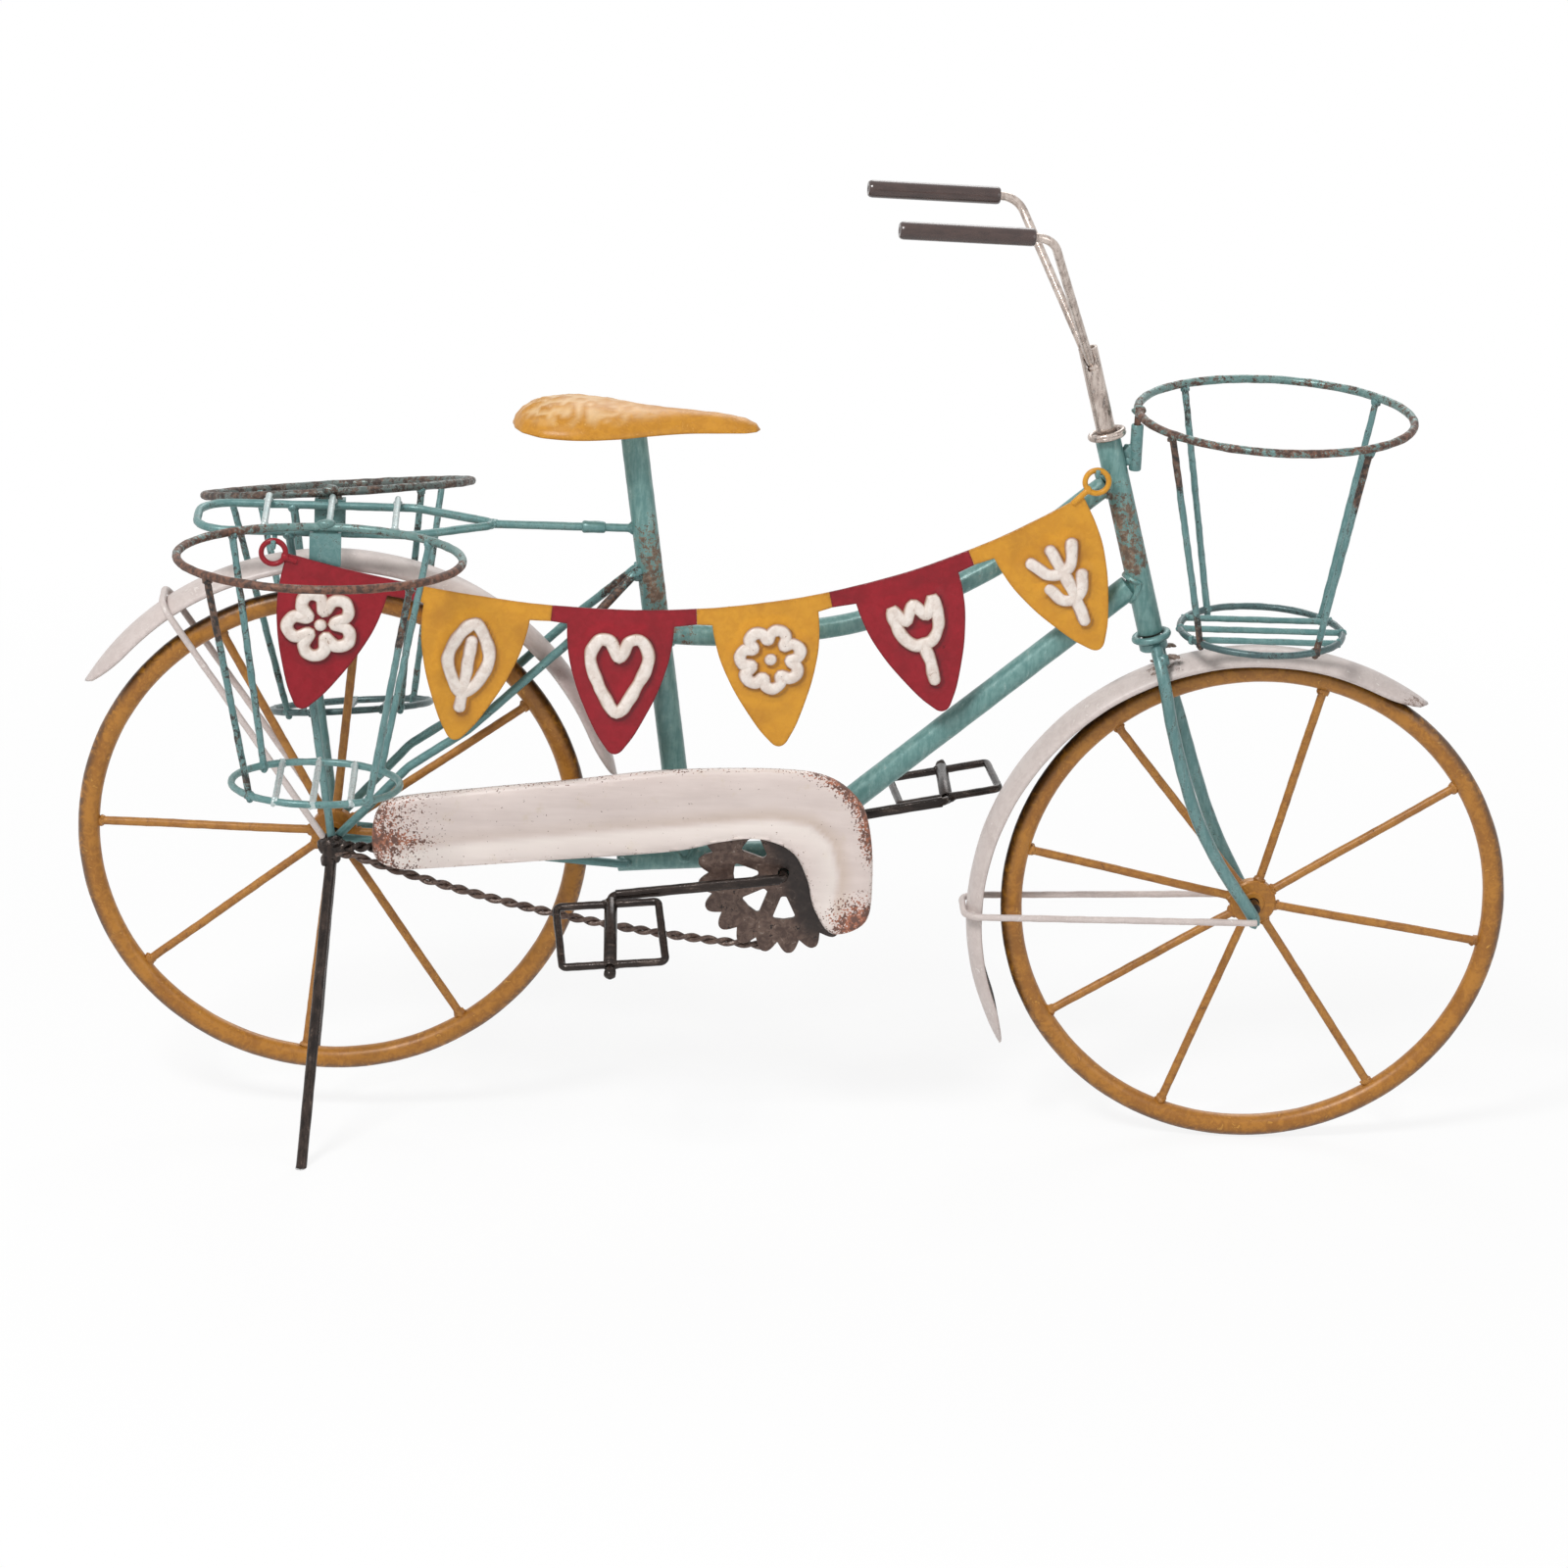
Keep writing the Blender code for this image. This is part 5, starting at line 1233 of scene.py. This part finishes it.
rim.tube((FRONT_HANG - UP * 19.5, FRONT_HANG - UP * 1.5, FRONT_HANG + Vector((1.5, 0, 0.6))), 1.2,
         12, lump=0.05)
rim.blob(FRONT_HANG + Vector((0.3, 0, 0.3)), (2.4, 2.2, 2.0), 0.2)
mark(stand_in("holder_front_rim", rim, teal_rusty, "holder_front"),
     front_rust)
sleeve = Shape().lathe(Vector((115.88, 0, 257.0)), UP, [
    (1.55, 0), (2.0, 0), (2.25, 0.4), (2.25, 16.6), (2.0, 17), (1.55, 17)], 28)
sleeve.blob((113.0, 0, 264.0), (2.2, 1.8, 2.6), 0.2)
sleeve.blob((113.6, 0, 260.4), (1.8, 1.5, 1.7), 0.2)
stand_in("holder_sleeve_front", sleeve, teal, "frame")

# ---------------------------------------------------------------- garland

PLAN = Vector((0.998513, 0.054508, 0))
FACING = Vector((0.054508, -0.998513, 0))
FIRST = Vector((-186.707, -25.338, 224.1))
LAST = Vector((96.801, -9.862, 249.722))
SPAN = (LAST.xy - FIRST.xy).length
SAG = 31.9
SAMPLES = 240
COUNT = 6
WIDTH, DROP, STRIP = 38.5, 55.0, 5.8
PENNANT_SHEET = 0.8
PENNANT_SLICE = 0.9
BEAD_RADIUS = 2.4
BULGE = 1.3


def top_edge(share):
    """The band's top edge in the sheet's own plane, as distance along it in plan and height."""
    lean = 1 + 0.36 * (share - 0.5)
    rise = (LAST.z - FIRST.z) * share - SAG * 4 * share * (1 - share) * lean
    return Vector((SPAN * share, rise))


band = [top_edge(k / SAMPLES) for k in range(SAMPLES + 1)]
reached = [0.0]
for a, b in zip(band, band[1:]):
    reached.append(reached[-1] + (b - a).length)
PITCH = (reached[-1] - WIDTH) / (COUNT - 1)


def on_band(distance):
    """The place on the top edge at a length along it, and the direction there."""
    step = 0
    while step < SAMPLES - 1 and reached[step + 1] < distance:
        step += 1
    share = (distance - reached[step]) / (reached[step + 1] - reached[step])
    return band[step].lerp(band[step + 1], share), (band[step + 1] - band[step]).normalized()


def upright(points):
    """Places of the sheet's own plane as (x, 0, z)."""
    return [Vector((p.x, 0, p.y)) for p in points]


def strip_foot(distance):
    """The place on the strip's lower edge at a length along it."""
    place, way = on_band(distance)
    return upright([place + Vector((way.y, -way.x)) * STRIP])


def on_pennant(index, places):
    """Places given in shares of a pennant's width and drop."""
    middle, way = on_band(WIDTH / 2 + PITCH * index)
    down = Vector((way.y, -way.x))
    return upright([middle + way * (WIDTH * x) + down * (DROP * y) for x, y in places])


def in_sheet(flat, proud=0.0):
    """A place of the sheet's plane in space, moved towards the viewer by proud."""
    return FIRST + PLAN * flat.x + UP * flat.y + FACING * proud


def height_of(motif, x, z):
    """How far a sheet stands out at a place, slightly bent and pressed out at its motif's lines."""
    near = distance_to(motif, x, z)
    pressed = max(1 - (near / 6.0) ** 2, 0) ** 1.5
    wave = 0.5 * noise.noise(Vector((x / 19, 7.1, z / 15)))
    wave += 0.12 * noise.noise(Vector((x / 4, 2.3, z / 4)))
    return 0.4 + BULGE * pressed + wave, near


def stroke(shape, motif, line):
    """A raised bead along a line on a pennant, whose back stays inside the pennant's sheet."""
    closed = (line[0] - line[-1]).length < 1e-6 and len(line) > 2
    raised = Shape().tube(line[:-1] if closed else line, BEAD_RADIUS, 16, closed, 0.09, 4.5, 1.2,
                          0.9)
    placed = []
    for vert in raised.verts:
        inside = height_of(motif, vert.x, vert.z)[0] - 0.4
        placed.append(in_sheet(Vector((vert.x, vert.z)), max(BULGE + 0.1 - vert.y * 0.58, inside)))
    shape.add(placed, raised.faces)


def petals(count, inner, outer, centre):
    """A closed flower outline with the given number of petals."""
    out = []
    for k in range(count * 6):
        angle = tau * k / (count * 6) + pi / 2
        reach = inner + (outer - inner) * abs(sin(count * (angle - pi / 2) / 2)) ** 0.7
        out.append((centre[0] + reach * cos(angle), centre[1] - reach * sin(angle) * 0.70))
    return out


def mirrored(half):
    """A closed outline from its right half, whose first and last places are in the middle."""
    return [*half, *((-x, y) for x, y in half[-2:0:-1])]


SIDE = ((0.500, 0.105), (0.494, 0.20), (0.465, 0.350), (0.400, 0.510), (0.325, 0.646),
        (0.190, 0.843), (0.095, 0.945), (0.05, 0.982))
END = [*SIDE, (0, 0.995), *((-x, y) for x, y in reversed(SIDE))]
HEART = mirrored([(0.0, 0.32), (0.09, 0.21), (0.21, 0.21), (0.27, 0.34), (0.18, 0.51), (0.0, 0.70)])
LEAF = mirrored([(0.0, 0.18), (0.14, 0.30), (0.19, 0.44), (0.11, 0.58), (0.0, 0.66)])
TULIP = ((-0.20, 0.22), (-0.10, 0.31), (0.0, 0.22), (0.10, 0.31), (0.20, 0.22), (0.19, 0.38),
         (0.10, 0.48), (0.0, 0.50), (-0.10, 0.48), (-0.19, 0.38))
# Each pennant's lines, and whether a line is closed.
MOTIFS = (
    ((petals(5, 0.13, 0.31, (-0.03, 0.40)), True), (((-0.03, 0.40), (-0.026, 0.405)), False)),
    ((LEAF, True), (((0.0, 0.30), (0.0, 0.52), (0.0, 0.76)), False)),
    ((HEART, True),),
    ((petals(7, 0.19, 0.29, (0.0, 0.38)), True), (((0.0, 0.38), (0.004, 0.385)), False)),
    ((TULIP, True), (((0.0, 0.52), (0.01, 0.64), (0.0, 0.76)), False)),
    ((((0.0, 0.22), (0.02, 0.48), (0.0, 0.76)), False),
     (((0.0, 0.40), (0.12, 0.36), (0.21, 0.24)), False),
     (((0.01, 0.40), (-0.12, 0.36), (-0.21, 0.24)), False),
     (((0.0, 0.60), (0.10, 0.56), (0.17, 0.46)), False),
     (((0.01, 0.60), (-0.10, 0.56), (-0.17, 0.46)), False)),
)
# How far each pennant's sheet begins before its own width; the last number closes the list.
BEFORE = (0.0, 1.0, 5.6, 5.0, 8.0, 7.0)
TOP_STEPS = 16


def pennant_outline(index):
    """A pennant with its length of the strip, as a closed line of (x, 0, z) places."""
    start = 0.0 if index == 0 else PITCH * index - BEFORE[index]
    stop = PITCH * (index + 1) - BEFORE[index + 1] - 0.02 if index < COUNT - 1 else reached[-1]
    out = upright([on_band(start + (stop - start) * k / TOP_STEPS)[0]
                   for k in range(TOP_STEPS + 1)])
    if stop > PITCH * index + WIDTH + 0.3:
        out += strip_foot(stop)
    out += flowing(on_pennant(index, END), 4)
    if start < PITCH * index - 0.3:
        out += strip_foot(start)
    return out


def motif_shade(place):
    """Painted shade: the motif is dark low down, where it leaves the sheet."""
    return clamped((1.05 - ((place - FIRST) @ FACING - BULGE)) / 0.5) * 0.8


for index in range(COUNT):
    outline = pennant_outline(index)
    bm = bmesh.new()
    bmesh.ops.triangle_fill(bm, edges=loop_edges(bm, outline), use_beauty=True)
    for axis, reach in ((0, [p.x for p in outline]), (2, [p.z for p in outline])):
        slice_mesh(bm, axis, min(reach), max(reach), PENNANT_SLICE)
    lines = []
    for places, closed in MOTIFS[index]:
        line = flowing(on_pennant(index, places), 8, closed)
        lines.append(line + line[:1] if closed else line)
    motif = laid_along([[(p.x, p.z) for p in line] for line in lines])
    rim = laid_along([[(p.x, p.z) for p in outline + outline[:1]]])
    shades = bm.verts.layers.float.new("mark")
    for vert in bm.verts:
        x, z = vert.co.x, vert.co.z
        proud, near = height_of(motif, x, z)
        # Painted shadow below and to the right of each raised line, and painted shade round it;
        # the sheet is also darker along its edge, and stained in patches.
        lower = distance_to(motif, x - 0.75, z + 0.75)
        painted_shadow = max(1 - abs(lower - 2.3) / 0.95, 0) if near > lower else 0
        painted_ring_shade = max(1 - abs(near - 2.5) / 0.9, 0)
        edge = max(1 - distance_to(rim, x, z) / 0.9, 0)
        stain = max(noise.noise(Vector((x / 9, 1.7, z / 9))) - 0.1, 0)
        vert[shades] = min(0.75 * painted_shadow + 0.25 * painted_ring_shade + 0.35 * edge + 0.5 * stain, 1)
        vert.co = in_sheet(Vector((x, z)), proud)
    sheet("garland_pennant_%d" % (index + 1), bm, yellow if index % 2 else crimson, "garland",
          () if index else ("garland",), FACING, PENNANT_SHEET, 60)
    beads = Shape()
    for line in lines:
        stroke(beads, motif, line)
    mark(piece("garland_motif_%d" % (index + 1), beads, relief_cream, "garland", sharp=60),
         motif_shade)

LOOP_RADIUS = 4.3
LOOP_WIRE = 1.0
TIE_WIRE = 1.1
HOOK_WIRE = 0.9
for name, centre, toward, corner, colour in (
        ("rear", Vector((-191.5, -25.6, 224.4)), 1, FIRST, crimson),
        ("front", Vector((101.594, -9.6, 254.922)), -1, LAST, yellow)):
    ring_line = [centre + PLAN * (LOOP_RADIUS * cos(a)) + UP * (LOOP_RADIUS * sin(a))
                 for a in (tau * k / 32 for k in range(32))]
    loop = Shape().tube(ring_line, LOOP_WIRE, 14, True, 0.04)
    tie_end = corner + PLAN * (toward * 3.4) - UP * 3.0
    tie_start = centre + (tie_end - centre).normalized() * LOOP_RADIUS
    loop.tube((tie_start, tie_start.lerp(tie_end, 0.5), tie_end), TIE_WIRE, 12, lump=0.06)
    loop.blob(tie_start, (1.5, 1.3, 1.5), 0.15)
    piece("garland_loop_" + name, loop, colour, "garland")
for name, corners in (("rear", ((-191.5, -17.0, 229.2), (-191.5, -17.0, 226.5),
                                (-191.5, -27.8, 226.5), (-191.5, -27.8, 229.1))),
                      ("front", ((107.0, -3.2, 257.02), (101.6, -6.33, 257.02),
                                 (101.6, -11.8, 257.02), (101.6, -11.8, 259.6)))):
    hook = Shape().tube(rounded(corners, 1.35), HOOK_WIRE, 12, lump=0.04)
    stand_in("garland_hook_" + name, hook, teal, "frame")

# ---------------------------------------------------------------- stage, light and camera

FLOOR_REACH = 30.0
floor_mesh = bpy.data.meshes.new("floor")
floor_mesh.from_pydata([(FLOOR_REACH * x, FLOOR_REACH * y, 0)
                        for x, y in ((-1, -1), (1, -1), (1, 1), (-1, 1))], [], [(0, 1, 2, 3)])
floor = link("floor", floor_mesh)


def white_on_sight(net, lit, white, share):
    """Mixes a lit shader with a white one for the rays that see it, by the given share."""
    rays = net.node("ShaderNodeLightPath")
    bounced = net.plus(rays["Is Glossy Ray"], rays["Is Transmission Ray"])
    seen = net.plus(rays["Is Camera Ray"], bounced, clamp=True)
    return net.node("ShaderNodeMixShader", {0: net.times(seen, share), 1: lit,
                                            2: white})[0]


floor_paint = bpy.data.materials.new("floor_white")
floor_paint.use_nodes = True
net = Net(floor_paint.node_tree)
net.tree.nodes.remove(net.tree.nodes["Principled BSDF"])
diffuse = net.node("ShaderNodeBsdfDiffuse", {"Color": (0.92, 0.92, 0.92, 1)})[0]
glow = net.node("ShaderNodeEmission", {"Color": WHITE})[0]
place = net.node("ShaderNodeTexCoord")["Object"]
away = net.node("ShaderNodeVectorMath", {0: place}, operation="LENGTH")["Value"]
ramp = net.node("ShaderNodeMapRange", {"Value": away, "From Min": 0.25, "From Max": 0.75,
                                       "To Min": 0.85, "To Max": 1.0})[0]
net.put(net.tree.nodes["Material Output"].inputs["Surface"],
        white_on_sight(net, diffuse, glow, ramp))
floor_mesh.materials.append(floor_paint)

world = bpy.data.worlds.new("studio")
bpy.context.scene.world = world
world.use_nodes = True
net = Net(world.node_tree)
ambient = net.tree.nodes["Background"]
ambient.inputs["Color"].default_value = WHITE
ambient.inputs["Strength"].default_value = 0.42
shown = net.node("ShaderNodeBackground", {"Color": WHITE, "Strength": 1.0})[0]
net.put(net.tree.nodes["World Output"].inputs["Surface"],
        white_on_sight(net, ambient.outputs[0], shown, 1.0))

LAMP_TARGET = Vector((0, 0, 0.15))
for name, place, size, power in (("key", (-0.9, -1.2, 1.9), 0.6, 33),
                                 ("fill", (1.5, -1.2, 0.9), 1.2, 5),
                                 ("back", (0.3, 1.6, 1.4), 1.0, 8)):
    data = bpy.data.lights.new(name, "AREA")
    data.shape = "DISK"
    data.size = size
    data.energy = power
    lamp = link(name, data)
    lamp.location = place
    lamp.rotation_euler = (Vector(place) - LAMP_TARGET).to_track_quat("Z", "Y").to_euler()

camera_data = bpy.data.cameras.new("camera")
camera_data.lens = 135
camera_data.sensor_width = 36
camera_data.clip_end = 200
camera = link("camera", camera_data)
camera.matrix_world = Matrix(((0.998695, -0.027759, -0.04295, -0.0978),
                              (-0.031424, 0.329523, -0.94364, -2.0288),
                              (0.040348, 0.943759, 0.32822, 0.8394),
                              (0, 0, 0, 1)))
bpy.context.scene.camera = camera
bpy.context.scene.view_settings.view_transform = "Standard"
